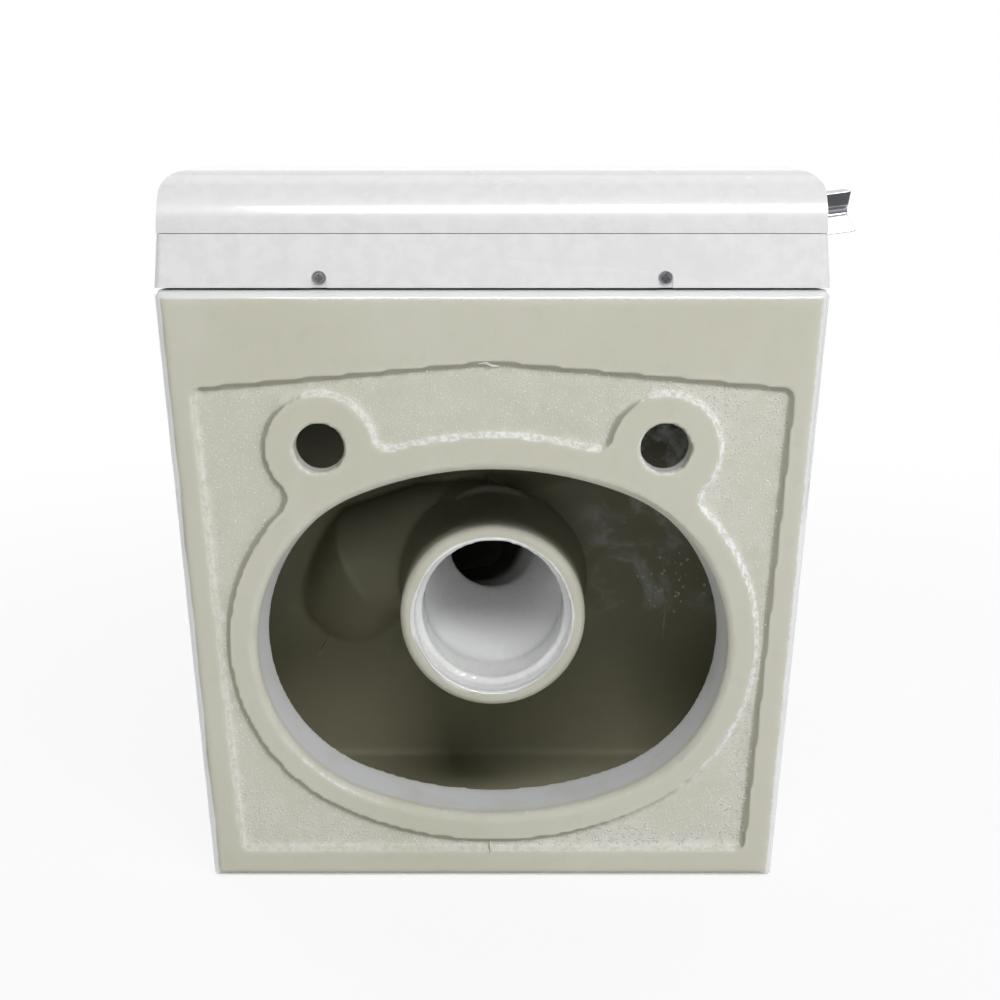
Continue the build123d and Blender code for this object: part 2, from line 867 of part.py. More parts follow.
def hinge_brackets():
    """Uprights beside each bay that carry the pins: one inside the bay, one outside it."""
    inner_face = bay_inner - casing_depth()
    outer_face = bay_outer + casing_depth()
    top = hinge_height + bracket_half_length
    front, back = -hinge_reach - bracket_half_length, -hinge_reach + bracket_half_length
    outline = (
        (back, floor_bottom),
        (back, top - bracket_bevel),
        (back - bracket_bevel, top),
        (front + bracket_bevel, top),
        (front, top - bracket_bevel),
        (front, floor_bottom),
    )
    bore = rod_x(pin_radius + pin_clearance, (pin_inner_end, pin_outer_end), -hinge_reach, hinge_height)
    uprights = []
    for across in ((inner_face - bracket_thickness, inner_face), (outer_face, outer_face + bracket_thickness)):
        uprights += both_sides(side_profile(outline, across) - bore)
    return uprights


def chassis():
    """The tray inside the casing that carries the hinges, the valve, the nozzle and the screws' bosses."""
    inset = case_wall + seat_gap
    floor = band_block(inset, floor_bottom, floor_top())
    for bay in hinge_bays(inset, (case_bottom, case_top)):
        floor -= bay
    near, far = plate_reach
    rail_outer = plate_half_width - plate_corner_radius
    rail_across = (rail_outer - rail_thickness, rail_outer)
    for rail in both_sides(block(rail_across, (-far, -near), (plate_top(), floor_bottom))):
        floor += rail
    for x, y in pad_places():
        floor += pad_block(x, y, (plate_top(), floor_bottom))
    back = -case_back_set_back - inset
    for x in screw_places():
        floor += rod_y(boss_radius, x, (back - boss_length, back), screw_height)
        floor -= rod_y(screw_radius + pin_clearance, x, (back - boss_length - overrun, back), screw_height)
    for upright in hinge_brackets():
        floor += upright
    for x, y in deck_places():
        floor -= rod_z(bolt_head_radius + 2 * seat_gap, x, y, (plate_top(), floor_top() + overrun))
    up = (case_bottom, case_seam)
    floor -= block(span(cap_width + 2 * cap_gap), (-case_reach, -cylinder_front_reach - overrun), up)
    pocket = (inlet_inner_end, case_half_width_bottom)
    return floor - block(pocket, span(2 * inlet_pocket_radius, -inlet_reach), up)


def pad_places():
    return [(side * pad_spread, -reach) for side in (-1, 1) for reach in pad_reaches]


def pad_block(x, y, up):
    return block(span(2 * pad_half_width, x), span(2 * pad_half_width, y), up)


def base_pads():
    """Rubber pads between the chassis and the deck."""
    return [pad_block(x, y, (rim_height, plate_top())) for x, y in pad_places()]


# Wash nozzle


def nozzle_frame(distance):
    """A plane across the nozzle's axis, at a distance back from the casing's front."""
    slope = math.radians(nozzle_slope)
    origin = (0, -case_reach + distance * math.cos(slope), nozzle_front_height + distance * math.sin(slope))
    return Plane(origin=origin, x_dir=(1, 0, 0), z_dir=(0, math.cos(slope), math.sin(slope)))


def nozzle_rod(radius, start, length):
    return extrude(nozzle_frame(start) * Circle(radius), amount=length)


def cylinder_start():
    return (case_reach - cylinder_front_reach) / math.cos(math.radians(nozzle_slope))


def nozzle_cylinder():
    """The pressure cylinder that the wash nozzle slides in, closed at the back with a spigot for the hose."""
    start = cylinder_start()
    cylinder = nozzle_rod(cylinder_radius, start, cylinder_length)
    hollow = cylinder_length - 2 * cylinder_end_wall
    cylinder -= nozzle_rod(piston_radius + running_clearance, start + cylinder_end_wall, hollow)
    cylinder -= nozzle_rod(nozzle_radius + running_clearance, start - overrun, overrun + 2 * cylinder_end_wall)
    x, y, z = elbow_place()
    elbow = rod_x(hose_radius, (x - barb_length, x), y, z)
    return cylinder + (elbow - nozzle_rod(cylinder_radius - running_clearance, start, cylinder_length))


def elbow_place():
    middle = nozzle_frame(cylinder_start() + cylinder_length - cylinder_end_wall / 2 - hose_radius).origin
    return (0, middle.Y, middle.Z)


def nozzle_saddles():
    """Two upright saddles on the chassis floor that hold the cylinder."""
    bed = nozzle_rod(cylinder_radius + pin_clearance, 0, cylinder_start() + 2 * cylinder_length)
    saddles = []
    for reach in saddle_reaches:
        level = nozzle_front_height + (case_reach - reach) * math.tan(math.radians(nozzle_slope))
        saddles.append(block(span(saddle_width), span(saddle_length, -reach), (floor_top(), level)) - bed)
    return saddles


def nozzle_seal():
    """The wiper ring that the nozzle slides through, held at the cylinder's mouth."""
    ring = nozzle_rod(cylinder_radius, cylinder_start() - seal_length, seal_length)
    return ring - nozzle_rod(nozzle_radius + running_clearance, 0, cylinder_start() + overrun)


def nozzle_barrel():
    """The sliding tube, with its piston at the back."""
    start = cap_thickness + tip_length
    back = cylinder_start() + cylinder_length - cylinder_end_wall - touch_gap
    barrel = nozzle_rod(nozzle_radius, start, back - start)
    barrel += nozzle_rod(piston_radius, back - piston_length, piston_length)
    return barrel - nozzle_rod(nozzle_radius / 2, start - overrun, back - start + 2 * overrun)


def nozzle_tip():
    """The spray head, with two jets on its upper side."""
    tip = nozzle_rod(nozzle_radius, cap_thickness, tip_length)
    tip -= nozzle_rod(nozzle_radius / 2, cap_thickness + tip_length / 2, tip_length)
    for end in (-1, 1):
        spot = nozzle_frame(cap_thickness + tip_length / 2 + end * spray_hole_spread)
        jet = Plane(origin=spot.origin, z_dir=(0, -spot.z_dir.Z, spot.z_dir.Y))
        tip -= extrude(jet * Circle(spray_hole_radius), amount=2 * nozzle_radius)
    return tip


def nozzle_cap():
    """The plate on the nozzle's end that closes the window in the casing."""
    at = Plane.XZ.offset(case_reach - touch_gap) * Pos(0, nozzle_front_height)
    cap = extrude(at * RectangleRounded(cap_width, cap_height, cap_corner_radius), amount=-cap_thickness)
    cap += nozzle_rod(nozzle_radius, cap_thickness / 2, cap_thickness)
    return cap - nozzle_rod(cap_width, cap_thickness, 2 * overrun)


# Control knob and valve


def knob_profile():
    """A bow tie on end: two broad lobes and a narrow waist, seen along the spindle."""
    lobe, waist, top = knob_lobe_half_width, knob_waist_half_width, knob_half_height
    outline = [
        Line((-lobe, top), (lobe, top)),
        ThreePointArc((lobe, top), (waist, 0), (lobe, -top)),
        Line((lobe, -top), (-lobe, -top)),
        ThreePointArc((-lobe, -top), (-waist, 0), (-lobe, top)),
    ]
    return make_face(outline)


def knob_side():
    """The knob from the side: a little taller at its outer end, with a bevel there."""
    inner, outer = -knob_inner_end, -knob_inner_end - knob_depth
    near, far, bevel = knob_half_height - knob_flare, knob_half_height, knob_edge_bevel
    upper = [(inner, near), (outer + bevel, far), (outer, far - bevel)]
    lower = [(x, -z) for x, z in reversed(upper)]
    return Pos(0, 0, knob_height) * (Plane.XZ * Polygon(*upper, *lower, align=None))


def knob_handle():
    """The lever knob: a bow tie block that grows a little toward its outer end."""
    near = Plane(origin=(-knob_inner_end, -knob_reach, knob_height), x_dir=(0, 1, 0), z_dir=(-1, 0, 0))
    handle = extrude(near * knob_profile(), amount=knob_depth)
    sides = extrude(Pos(0, -knob_reach, 0) * knob_side(), amount=knob_lobe_half_width, both=True)
    handle = handle & sides
    socket_end = -knob_inner_end - knob_depth / 2
    return handle - rod_x(spindle_radius + pin_clearance, (socket_end, 0), -knob_reach, knob_height)


def knob_escutcheon():
    low = -knob_inner_end + seat_gap
    ring = rod_x(escutcheon_radius, (low, low + escutcheon_thickness), -knob_reach, knob_height)
    return ring - rod_x(spindle_radius + seat_gap, (low - overrun, low + overrun), -knob_reach, knob_height)


def valve_spindle():
    end = -knob_inner_end - knob_depth / 2 + touch_gap
    return rod_x(spindle_radius, (end, -spindle_inner_end), -knob_reach, knob_height)


def valve_body():
    """The diverter valve behind the knob, on a foot, with a spigot for each hose."""
    low, high = -valve_range[1], -valve_range[0]
    body = rod_x(valve_radius, (low, high), -knob_reach, knob_height)
    body += rod_x(valve_nose_radius, (low - valve_nose_length, low), -knob_reach, knob_height)
    body += block((low, high), span(valve_foot_width, -knob_reach), (floor_top(), knob_height))
    for level in (knob_height, inlet_height):
        body += rod_x(hose_radius, (high, high + barb_length), -knob_reach, level)
    bore = (low - valve_nose_length - overrun, -spindle_inner_end + touch_gap)
    return body - rod_x(spindle_radius + running_clearance, bore, -knob_reach, knob_height)


# Water inlet and hoses


def inlet_rod(radius, across):
    return rod_x(radius, across, -inlet_reach, inlet_height)


def inlet_connector():
    """The threaded water inlet, sunk in the side of the casing, with a strainer chamber and a foot behind."""
    chamber = (inlet_body_end, inlet_inner_end)
    body = inlet_rod(inlet_body_radius, chamber)
    body += inlet_rod(inlet_radius, (inlet_inner_end, inlet_outer_end))
    body += inlet_rod(hose_radius, (inlet_body_end - barb_length, inlet_body_end))
    body += block(chamber, span(inlet_foot_width, -inlet_reach), (floor_top(), inlet_height))
    return body - inlet_rod(inlet_bore_radius, (inlet_outer_end - inlet_bore_depth, inlet_outer_end + overrun))


def supply_hose():
    """Straight across from the inlet to the valve, under the nozzle's cylinder."""
    start = (inlet_body_end - barb_length, -inlet_reach, inlet_height)
    end = (-valve_range[0] + barb_length, -knob_reach, inlet_height)
    return tube_along(Line(start, end), hose_radius)


def wash_hose():
    """From the valve to the back of the nozzle's cylinder."""
    start = -valve_range[0] + barb_length
    x, y, z = elbow_place()
    points = (
        (start, -knob_reach, knob_height),
        (start + hose_bend_radius, -knob_reach, knob_height),
        (x - barb_length - hose_bend_radius, y, z),
        (x - barb_length, y, z),
    )
    return tube_along(FilletPolyline(*points, radius=hose_bend_radius), hose_radius)


def hose_clips():
    """Blocks on the chassis floor that the supply hose snaps into from above."""
    clips = []
    for side in (-1, 1):
        across = span(clip_width, side * clip_spread)
        up = (floor_top(), inlet_height + clip_wall)
        clip = block(across, span(2 * (hose_radius + clip_wall), -inlet_reach), up)
        clip -= inlet_rod(hose_radius + running_clearance, across)
        mouth = span(2 * clip_wall, -inlet_reach)
        clips.append(clip - block(across, mouth, (inlet_height, inlet_height + hose_radius + clip_wall)))
    return clips


# Hinges


def seat_barrel_range():
    return (bay_inner + barrel_gap, bay_inner + barrel_gap + seat_barrel_length)


def lid_barrel_range():
    return (seat_barrel_range()[1] + barrel_gap, bay_outer - barrel_gap)


def hinge_pins():
    return both_sides(rod_x(pin_radius, (pin_inner_end, pin_outer_end), -hinge_reach, hinge_height))


def hinge_dampers():
    """Rotary dampers on the inner ends of the pins, against the brackets, each on a foot."""
    high = bay_inner - casing_depth() - bracket_thickness
    across = (high - damper_length, high)
    damper = rod_x(damper_radius, across, -hinge_reach, hinge_height)
    damper += block(across, span(damper_foot_width, -hinge_reach), (floor_top(), hinge_height))
    bore = (pin_inner_end - touch_gap, high)
    return both_sides(damper - rod_x(pin_radius + pin_clearance, bore, -hinge_reach, hinge_height))


def barrel_arm(across, points):
    """A barrel that turns on the pin, with the arm that carries it."""
    arm = rod_x(hinge_radius, across, -hinge_reach, hinge_height) + side_profile(points, across)
    return arm - rod_x(pin_radius + running_clearance, (pin_inner_end, pin_outer_end), -hinge_reach, hinge_height)


# Seat ring and lid


def seat_arms():
    """Arms that drop from the barrels to the ring."""
    hinge_front = -hinge_reach - hinge_radius
    points = (
        (hinge_front, hinge_height),
        (hinge_front, seat_top),
        (-seat_rear_reach - overrun, seat_top),
        (-seat_rear_reach - overrun, seat_bottom),
        (hinge_front + arm_wall / 2, seat_bottom),
        (hinge_front + arm_wall, hinge_height - hinge_radius / 2),
    )
    return both_sides(barrel_arm(seat_barrel_range(), points))


def seat_ring():
    """The ring, rounded on its upper edge, with a relief under its rear for the nozzle."""
    straight = seat_rear_reach + (seat_front_reach - seat_rear_reach) * straight_share
    sizes = (seat_half_width, seat_front_reach, -seat_rear_reach, straight)
    outline = front_outline(*sizes, seat_bottom, seat_corner_radius)
    ring = extrude(outline, amount=seat_top - seat_bottom, dir=(0, 0, 1))
    ring = fillet(ring.faces().sort_by(Axis.Z)[-1].edges(), seat_edge_rounding)
    hole = Pos(0, -seat_hole_reach, seat_bottom) * Ellipse(seat_hole_half_width, seat_hole_half_length)
    ring -= extrude(hole, amount=seat_top - seat_bottom)
    ring = chamfer([e for e in ring.edges() if is_hole_edge(e)], seat_hole_bevel)
    relief_along = (-seat_relief_reach, -seat_rear_reach + overrun)
    ring -= block(span(2 * seat_relief_half_width), relief_along, (seat_bottom - overrun, seat_relief_top))
    for arm in seat_arms():
        ring += arm
    return ring


def is_hole_edge(edge):
    """True for the upper edge of the seat's hole."""
    on_top = edge.center().Z > seat_top - touch_gap
    return on_top and abs(edge.bounding_box().size.X - 2 * seat_hole_half_width) < touch_gap


def seat_bumpers():
    """Rubber bumpers under the ring that rest on the china rim."""
    width, length = bumper_size
    bumpers = []
    for x, y in bumper_places():
        top = Pos(x, y, seat_bottom) * Rectangle(width, length)
        smaller = Rectangle(width - 2 * bumper_draft, length - 2 * bumper_draft)
        foot = Pos(x, y, rim_height + touch_gap) * smaller
        bumpers.append(loft([foot, top], ruled=True))
    return bumpers


def bumper_places():
    return [(side * rim_half_width_at(reach), -reach) for reach in bumper_reaches for side in (-1, 1)]


def rim_half_width_at(reach):
    """The middle of the china rim's width at a reach from the wall."""
    outer = front_half_width(rim_half_width, projection, projection * straight_share, reach)
    past = abs(reach - basin_centre_reach) - (basin_half_length - basin_half_width)
    inner = math.sqrt(basin_half_width**2 - max(0, past) ** 2)
    return (outer + inner) / 2


def lid_fall():
    """How far the lid's top drops for each millimetre towards the front."""
    return (lid_rear_top - lid_front_top) / (lid_front_reach - lid_rear_reach)


def lid_block(inset):
    """The lid as a solid that leans with its top, or drawn in by an inset."""
    fall = lid_fall()
    at = Plane(origin=(0, -lid_rear_reach, lid_rear_top), x_dir=(1, 0, 0), z_dir=(0, -fall, 1))
    length = math.hypot(lid_front_reach - lid_rear_reach, lid_rear_top - lid_front_top)
    corner = seat_corner_radius - inset
    outline = front_outline(lid_half_width - inset, length - inset, -inset, length * straight_share, -inset, corner)
    body = extrude(at * outline, amount=lid_skirt_bottom - lid_rear_top - overrun, dir=at.z_dir)
    top_edges = body.faces().sort_by(Axis((0, 0, 0), at.z_dir))[-1].edges()
    body = chamfer(top_edges, lid_inner_bevel) if inset else fillet(top_edges, lid_edge_rounding)
    if inset:
        return body
    along = (-lid_front_reach - overrun, -lid_rear_reach + overrun)
    level = (lid_skirt_bottom - lid_rear_top, lid_skirt_bottom)
    return body - block(span(2 * (lid_half_width + overrun)), along, level)


def lid_top_at(reach):
    """The height of the lid's top at a reach from the wall."""
    return lid_rear_top - lid_fall() * (reach - lid_rear_reach)


def lid_shell():
    """The hollow lid, with an arm to each outer barrel and posts for its bumpers."""
    shell = lid_block(0) - lid_block(lid_wall)
    rear = -lid_rear_reach - lid_wall + touch_gap
    points = (
        (rear, hinge_height + hinge_radius),
        (-hinge_reach, hinge_height + hinge_radius),
        (-hinge_reach, hinge_height - hinge_radius),
        (rear, hinge_height - hinge_radius),
    )
    for arm in both_sides(barrel_arm(lid_barrel_range(), points)):
        shell += arm
    for x, y in lid_bumper_places():
        top = lid_top_at(-y + lid_bumper_half_width) - lid_wall / 2
        shell += lid_bumper_block(x, y, (seat_top + touch_gap + lid_bumper_height, top))
    return shell


def lid_bumper_places():
    return [(side * rim_half_width_at(reach), -reach) for reach in lid_bumper_reaches for side in (-1, 1)]


def lid_bumper_block(x, y, up):
    return block(span(2 * lid_bumper_half_width, x), span(2 * lid_bumper_half_width, y), up)


def lid_bumpers():
    """Rubber buttons under the lid's posts that rest on the ring."""
    low = seat_top + touch_gap
    return [lid_bumper_block(x, y, (low, low + lid_bumper_height)) for x, y in lid_bumper_places()]


pieces = {
    "ceramic_bowl": ceramic_bowl,
    "deck_bushes": deck_bushes,
    "deck_nuts": deck_nuts,
    "deck_bolts": deck_bolts,
    "mounting_plate": mounting_plate,
    "base_pads": base_pads,
    "chassis": chassis,
    "rear_housing": rear_housing,
    "top_cover": top_cover,
    "housing_screws": housing_screws,
    "hinge_pins": hinge_pins,
    "hinge_dampers": hinge_dampers,
    "nozzle_cylinder": nozzle_cylinder,
    "nozzle_saddles": nozzle_saddles,
    "nozzle_seal": nozzle_seal,
    "nozzle_barrel": nozzle_barrel,
    "nozzle_tip": nozzle_tip,
    "nozzle_cap": nozzle_cap,
    "knob_handle": knob_handle,
    "knob_escutcheon": knob_escutcheon,
    "valve_spindle": valve_spindle,
    "valve_body": valve_body,
    "inlet_connector": inlet_connector,
    "supply_hose": supply_hose,
    "wash_hose": wash_hose,
    "hose_clips": hose_clips,
    "seat_ring": seat_ring,
    "seat_bumpers": seat_bumpers,
    "lid_shell": lid_shell,
    "lid_bumpers": lid_bumpers,
}

for name, make in pieces.items():
    shape = make()
    if isinstance(shape, list):
        shape = Compound(children=shape)
    export_step(shape, f"parts/{name}.step")
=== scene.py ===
import bpy
import bmesh
import math
import random
from mathutils import Euler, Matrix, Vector, noise
from mathutils.bvhtree import BVHTree


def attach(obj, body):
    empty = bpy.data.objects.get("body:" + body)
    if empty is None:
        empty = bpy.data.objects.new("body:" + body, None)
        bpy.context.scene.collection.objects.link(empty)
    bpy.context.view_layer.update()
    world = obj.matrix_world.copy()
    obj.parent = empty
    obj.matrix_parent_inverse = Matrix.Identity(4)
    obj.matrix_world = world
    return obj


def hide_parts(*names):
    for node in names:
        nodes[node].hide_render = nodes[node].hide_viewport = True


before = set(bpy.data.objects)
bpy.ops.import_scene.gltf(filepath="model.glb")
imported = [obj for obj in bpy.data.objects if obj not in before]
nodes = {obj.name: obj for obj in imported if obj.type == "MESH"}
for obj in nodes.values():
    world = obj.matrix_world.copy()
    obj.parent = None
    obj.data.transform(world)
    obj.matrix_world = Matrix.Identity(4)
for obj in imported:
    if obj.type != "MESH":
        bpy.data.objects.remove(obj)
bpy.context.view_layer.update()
drawSeed = 7
random.seed(drawSeed)
print("frame loaded:", len(nodes), "nodes")

# Small helpers for node trees

layout = {"groupStart": (-900, 0), "groupEnd": (900, 0), "coords": (-1200, 0)}


def link(tree, source, target):
    tree.links.new(source, target)


def addNode(tree, kind, place=(0, 0), **settings):
    node = tree.nodes.new(kind)
    node.location = place
    for key, value in settings.items():
        setattr(node, key, value)
    return node


def feed(tree, socket, value):
    if isinstance(value, bpy.types.NodeSocket):
        tree.links.new(value, socket)
    elif isinstance(value, (tuple, list)) and len(value) == 3 and socket.type == "RGBA":
        socket.default_value = (*value, 1.0)
    else:
        socket.default_value = value


def maths(tree, operation, *values, clamp=False):
    node = tree.nodes.new("ShaderNodeMath")
    node.operation = operation
    node.use_clamp = clamp
    for socket, value in zip(node.inputs, values):
        feed(tree, socket, value)
    return node.outputs[0]


def product(tree, result, *others):
    for other in others:
        result = maths(tree, "MULTIPLY", result, other)
    return result


def total(tree, result, *others):
    for other in others:
        result = maths(tree, "ADD", result, other)
    return result


def distanceOf(tree, *values):
    squares = [maths(tree, "POWER", value, 2.0) for value in values]
    return maths(tree, "SQRT", total(tree, *squares))


def ramp(tree, value, low, high, outLow=0.0, outHigh=1.0, smooth=True):
    node = tree.nodes.new("ShaderNodeMapRange")
    node.interpolation_type = "SMOOTHSTEP" if smooth else "LINEAR"
    for name, number in (("From Min", low), ("From Max", high), ("To Min", outLow), ("To Max", outHigh)):
        node.inputs[name].default_value = number
    feed(tree, node.inputs["Value"], value)
    return node.outputs["Result"]


def mixColor(tree, factor, first, second, blend="MIX"):
    node = tree.nodes.new("ShaderNodeMix")
    node.data_type = "RGBA"
    node.blend_type = blend
    feed(tree, node.inputs[0], factor)
    feed(tree, node.inputs[6], first)
    feed(tree, node.inputs[7], second)
    return node.outputs[2]


def mixValue(tree, factor, first, second):
    node = tree.nodes.new("ShaderNodeMix")
    node.data_type = "FLOAT"
    feed(tree, node.inputs[0], factor)
    feed(tree, node.inputs[2], first)
    feed(tree, node.inputs[3], second)
    return node.outputs[0]


def noiseOf(tree, coords, scale, detail=3.0, rough=0.5, distortion=0.0):
    node = tree.nodes.new("ShaderNodeTexNoise")
    link(tree, coords, node.inputs["Vector"])
    node.inputs["Scale"].default_value = scale
    node.inputs["Detail"].default_value = detail
    node.inputs["Roughness"].default_value = rough
    node.inputs["Distortion"].default_value = distortion
    return node.outputs["Fac"]


def cover(tree, tone, color, where, strength=None):
    if strength is not None:
        where = maths(tree, "MULTIPLY", where, strength)
    return mixColor(tree, where, tone, color)


def darker(color, share):
    return [part * share for part in color]


def partsOf(tree, vector):
    parts = addNode(tree, "ShaderNodeSeparateXYZ")
    link(tree, vector, parts.inputs[0])
    return parts.outputs


def normalOf(tree):
    return addNode(tree, "ShaderNodeNewGeometry").outputs["Normal"]


def stretched(tree, coords, scale):
    mapping = addNode(tree, "ShaderNodeMapping")
    mapping.inputs["Scale"].default_value = scale
    link(tree, coords, mapping.inputs["Vector"])
    return mapping.outputs["Vector"]


def startGroup(name, inputs, outputs):
    group = bpy.data.node_groups.new(name, "ShaderNodeTree")
    for label, kind, value in inputs:
        socket = group.interface.new_socket(label, in_out="INPUT", socket_type=kind)
        if value is not None:
            socket.default_value = value
    for label, kind in outputs:
        group.interface.new_socket(label, in_out="OUTPUT", socket_type=kind)
    start = addNode(group, "NodeGroupInput", layout["groupStart"])
    end = addNode(group, "NodeGroupOutput", layout["groupEnd"])
    return group, start.outputs, end.inputs


def useGroup(tree, group, **values):
    node = tree.nodes.new("ShaderNodeGroup")
    node.node_tree = group
    for name, value in values.items():
        feed(tree, node.inputs[name], value)
    return node.outputs


# Effects that several finishes share

floatKind, vectorKind = "NodeSocketFloat", "NodeSocketVector"


def noiseInto(group, coords, scale=None, detail=None):
    node = addNode(group, "ShaderNodeTexNoise")
    link(group, coords, node.inputs["Vector"])
    if scale is not None:
        feed(group, node.inputs["Scale"], scale)
    if detail is not None:
        node.inputs["Detail"].default_value = detail
    return node.outputs["Fac"]


wearEffect = {"flatPoint": 0.5, "patch": (0.35, 0.65)}


def buildEdgeWear():
    group, given, result = startGroup(
        "edgeWearAndCreaseShade",
        [("Vector", vectorKind, None), ("Reach", floatKind, 0.06), ("Breakup", floatKind, 90.0)],
        [("Edge", floatKind), ("Groove", floatKind)],
    )
    point = addNode(group, "ShaderNodeNewGeometry").outputs["Pointiness"]
    broken = noiseInto(group, given["Vector"], given["Breakup"])
    above = maths(group, "SUBTRACT", point, wearEffect["flatPoint"])
    edge = maths(group, "DIVIDE", above, given["Reach"], clamp=True)
    # Groove is how deep a spot lies in a crease; where a finish darkens with it, that is painted shade
    groove = maths(group, "DIVIDE", maths(group, "MULTIPLY", above, -1.0), given["Reach"], clamp=True)
    patch = ramp(group, broken, *wearEffect["patch"])
    link(group, maths(group, "MULTIPLY", edge, patch), result["Edge"])
    link(group, groove, result["Groove"])
    return group


grainEffect = {"swellDetail": 1.0, "cloudScale": 34.0, "cloudDetail": 5.0}


def buildMouldGrain():
    group, given, result = startGroup(
        "mouldGrain",
        [("Vector", vectorKind, None), ("Scale", floatKind, 900.0), ("Wave", floatKind, 14.0)],
        [("Grain", floatKind), ("Swell", floatKind), ("Cloud", floatKind)],
    )
    coords, look = given["Vector"], grainEffect
    link(group, noiseInto(group, coords, given["Scale"]), result["Grain"])
    link(group, noiseInto(group, coords, given["Wave"], look["swellDetail"]), result["Swell"])
    link(group, noiseInto(group, coords, look["cloudScale"], look["cloudDetail"]), result["Cloud"])
    return group


dustEffect = {
    "filmScale": 22.0, "filmDetail": 6.0, "patch": (0.3, 0.8), "upward": (0.2, 0.95), "speck": (0.16, 0.06),
}


def buildDust():
    group, given, result = startGroup(
        "dust",
        [("Vector", vectorKind, None), ("Amount", floatKind, 0.3), ("Specks", floatKind, 700.0)],
        [("Film", floatKind), ("Speck", floatKind)],
    )
    up = partsOf(group, normalOf(group))["Z"]
    film = noiseInto(group, given["Vector"], dustEffect["filmScale"], dustEffect["filmDetail"])
    upward = ramp(group, up, *dustEffect["upward"])
    settled = maths(group, "MULTIPLY", upward, ramp(group, film, *dustEffect["patch"]))
    link(group, maths(group, "MULTIPLY", settled, given["Amount"]), result["Film"])
    speck = addNode(group, "ShaderNodeTexVoronoi")
    link(group, given["Vector"], speck.inputs["Vector"])
    link(group, given["Specks"], speck.inputs["Scale"])
    small = ramp(group, speck.outputs["Distance"], *dustEffect["speck"])
    link(group, maths(group, "MULTIPLY", small, given["Amount"]), result["Speck"])
    return group


brushEffect = {"stretch": (0.04, 1.0, 1.0), "smearScale": 60.0, "smearDetail": 6.0}


def buildBrushed():
    group, given, result = startGroup(
        "brushed",
        [("Vector", vectorKind, None), ("Fine", floatKind, 1500.0)],
        [("Line", floatKind), ("Smear", floatKind)],
    )
    lines = stretched(group, given["Vector"], brushEffect["stretch"])
    link(group, noiseInto(group, lines, given["Fine"]), result["Line"])
    smear = noiseInto(group, given["Vector"], brushEffect["smearScale"], brushEffect["smearDetail"])
    link(group, smear, result["Smear"])
    return group


edgeWearAndCreaseShade = buildEdgeWear()
mouldGrain = buildMouldGrain()
dust = buildDust()
brushed = buildBrushed()
print("shared effects built")


def startMaterial(name):
    material = bpy.data.materials.new(name)
    material.use_nodes = True
    tree = material.node_tree
    shader = tree.nodes["Principled BSDF"]
    coords = addNode(tree, "ShaderNodeTexCoord", layout["coords"]).outputs["Object"]
    return material, tree, shader, coords


def bumpInto(tree, shader, height, distance, strength=1.0):
    bump = addNode(tree, "ShaderNodeBump")
    bump.inputs["Strength"].default_value = strength
    bump.inputs["Distance"].default_value = distance
    feed(tree, bump.inputs["Height"], height)
    link(tree, bump.outputs["Normal"], shader.inputs["Normal"])
    return bump


# Finishes of the plastic, rubber and metal pieces

plasticFinishes = {
    "casingWhite": dict(
        color=(0.80, 0.80, 0.80), shade=(0.78, 0.78, 0.78), wear=(0.86, 0.86, 0.86), rough=0.26, spread=0.02,
        grain=1100.0, grainDepth=0.00001, swell=0.00003, coat=0.9, dirt=0.012,
    ),
    "lowerCasingWhite": dict(
        color=(0.80, 0.80, 0.80), shade=(0.78, 0.78, 0.78), wear=(0.88, 0.88, 0.88), rough=0.36, spread=0.03,
        grain=1300.0, grainDepth=0.00002, swell=0.00003, coat=0.08, dirt=0.012,
    ),
    "seatWhite": dict(
        color=(0.82, 0.825, 0.82), shade=(0.795, 0.80, 0.795), wear=(0.87, 0.87, 0.86), rough=0.17,
        spread=0.02, grain=700.0, grainDepth=0.000006, swell=0.00003, coat=0.6, dirt=0.015,
    ),
    "nozzlePale": dict(
        color=(0.74, 0.77, 0.79), shade=(0.66, 0.70, 0.72), wear=(0.84, 0.85, 0.86), rough=0.16, spread=0.06,
        grain=1500.0, grainDepth=0.000008, swell=0.00004, coat=0.3, dirt=0.08,
    ),
    "chassisGrey": dict(
        color=(0.33, 0.34, 0.35), shade=(0.24, 0.25, 0.26), wear=(0.48, 0.48, 0.48), rough=0.52, spread=0.12,
        grain=800.0, grainDepth=0.00008, swell=0.00005, coat=0.0, dirt=0.35,
    ),
    "sealBlack": dict(
        color=(0.045, 0.045, 0.047), shade=(0.025, 0.025, 0.027), wear=(0.12, 0.12, 0.12), rough=0.72,
        spread=0.12, grain=600.0, grainDepth=0.0001, swell=0.00008, coat=0.0, dirt=0.45,
    ),
}
plasticHabit = {
    "wave": 9.0, "wearReach": 0.07, "wearBreakup": 120.0, "specks": 500.0, "cloud": (0.3, 0.75),
    "edge": 0.5, "groove": 0.35, "grooveShade": 0.55, "film": (0.60, 0.59, 0.56), "speck": (0.42, 0.40, 0.37),
    "roughCloud": (0.3, 0.7), "filmRough": 0.5, "coatRough": 0.08, "refraction": 1.5,
}


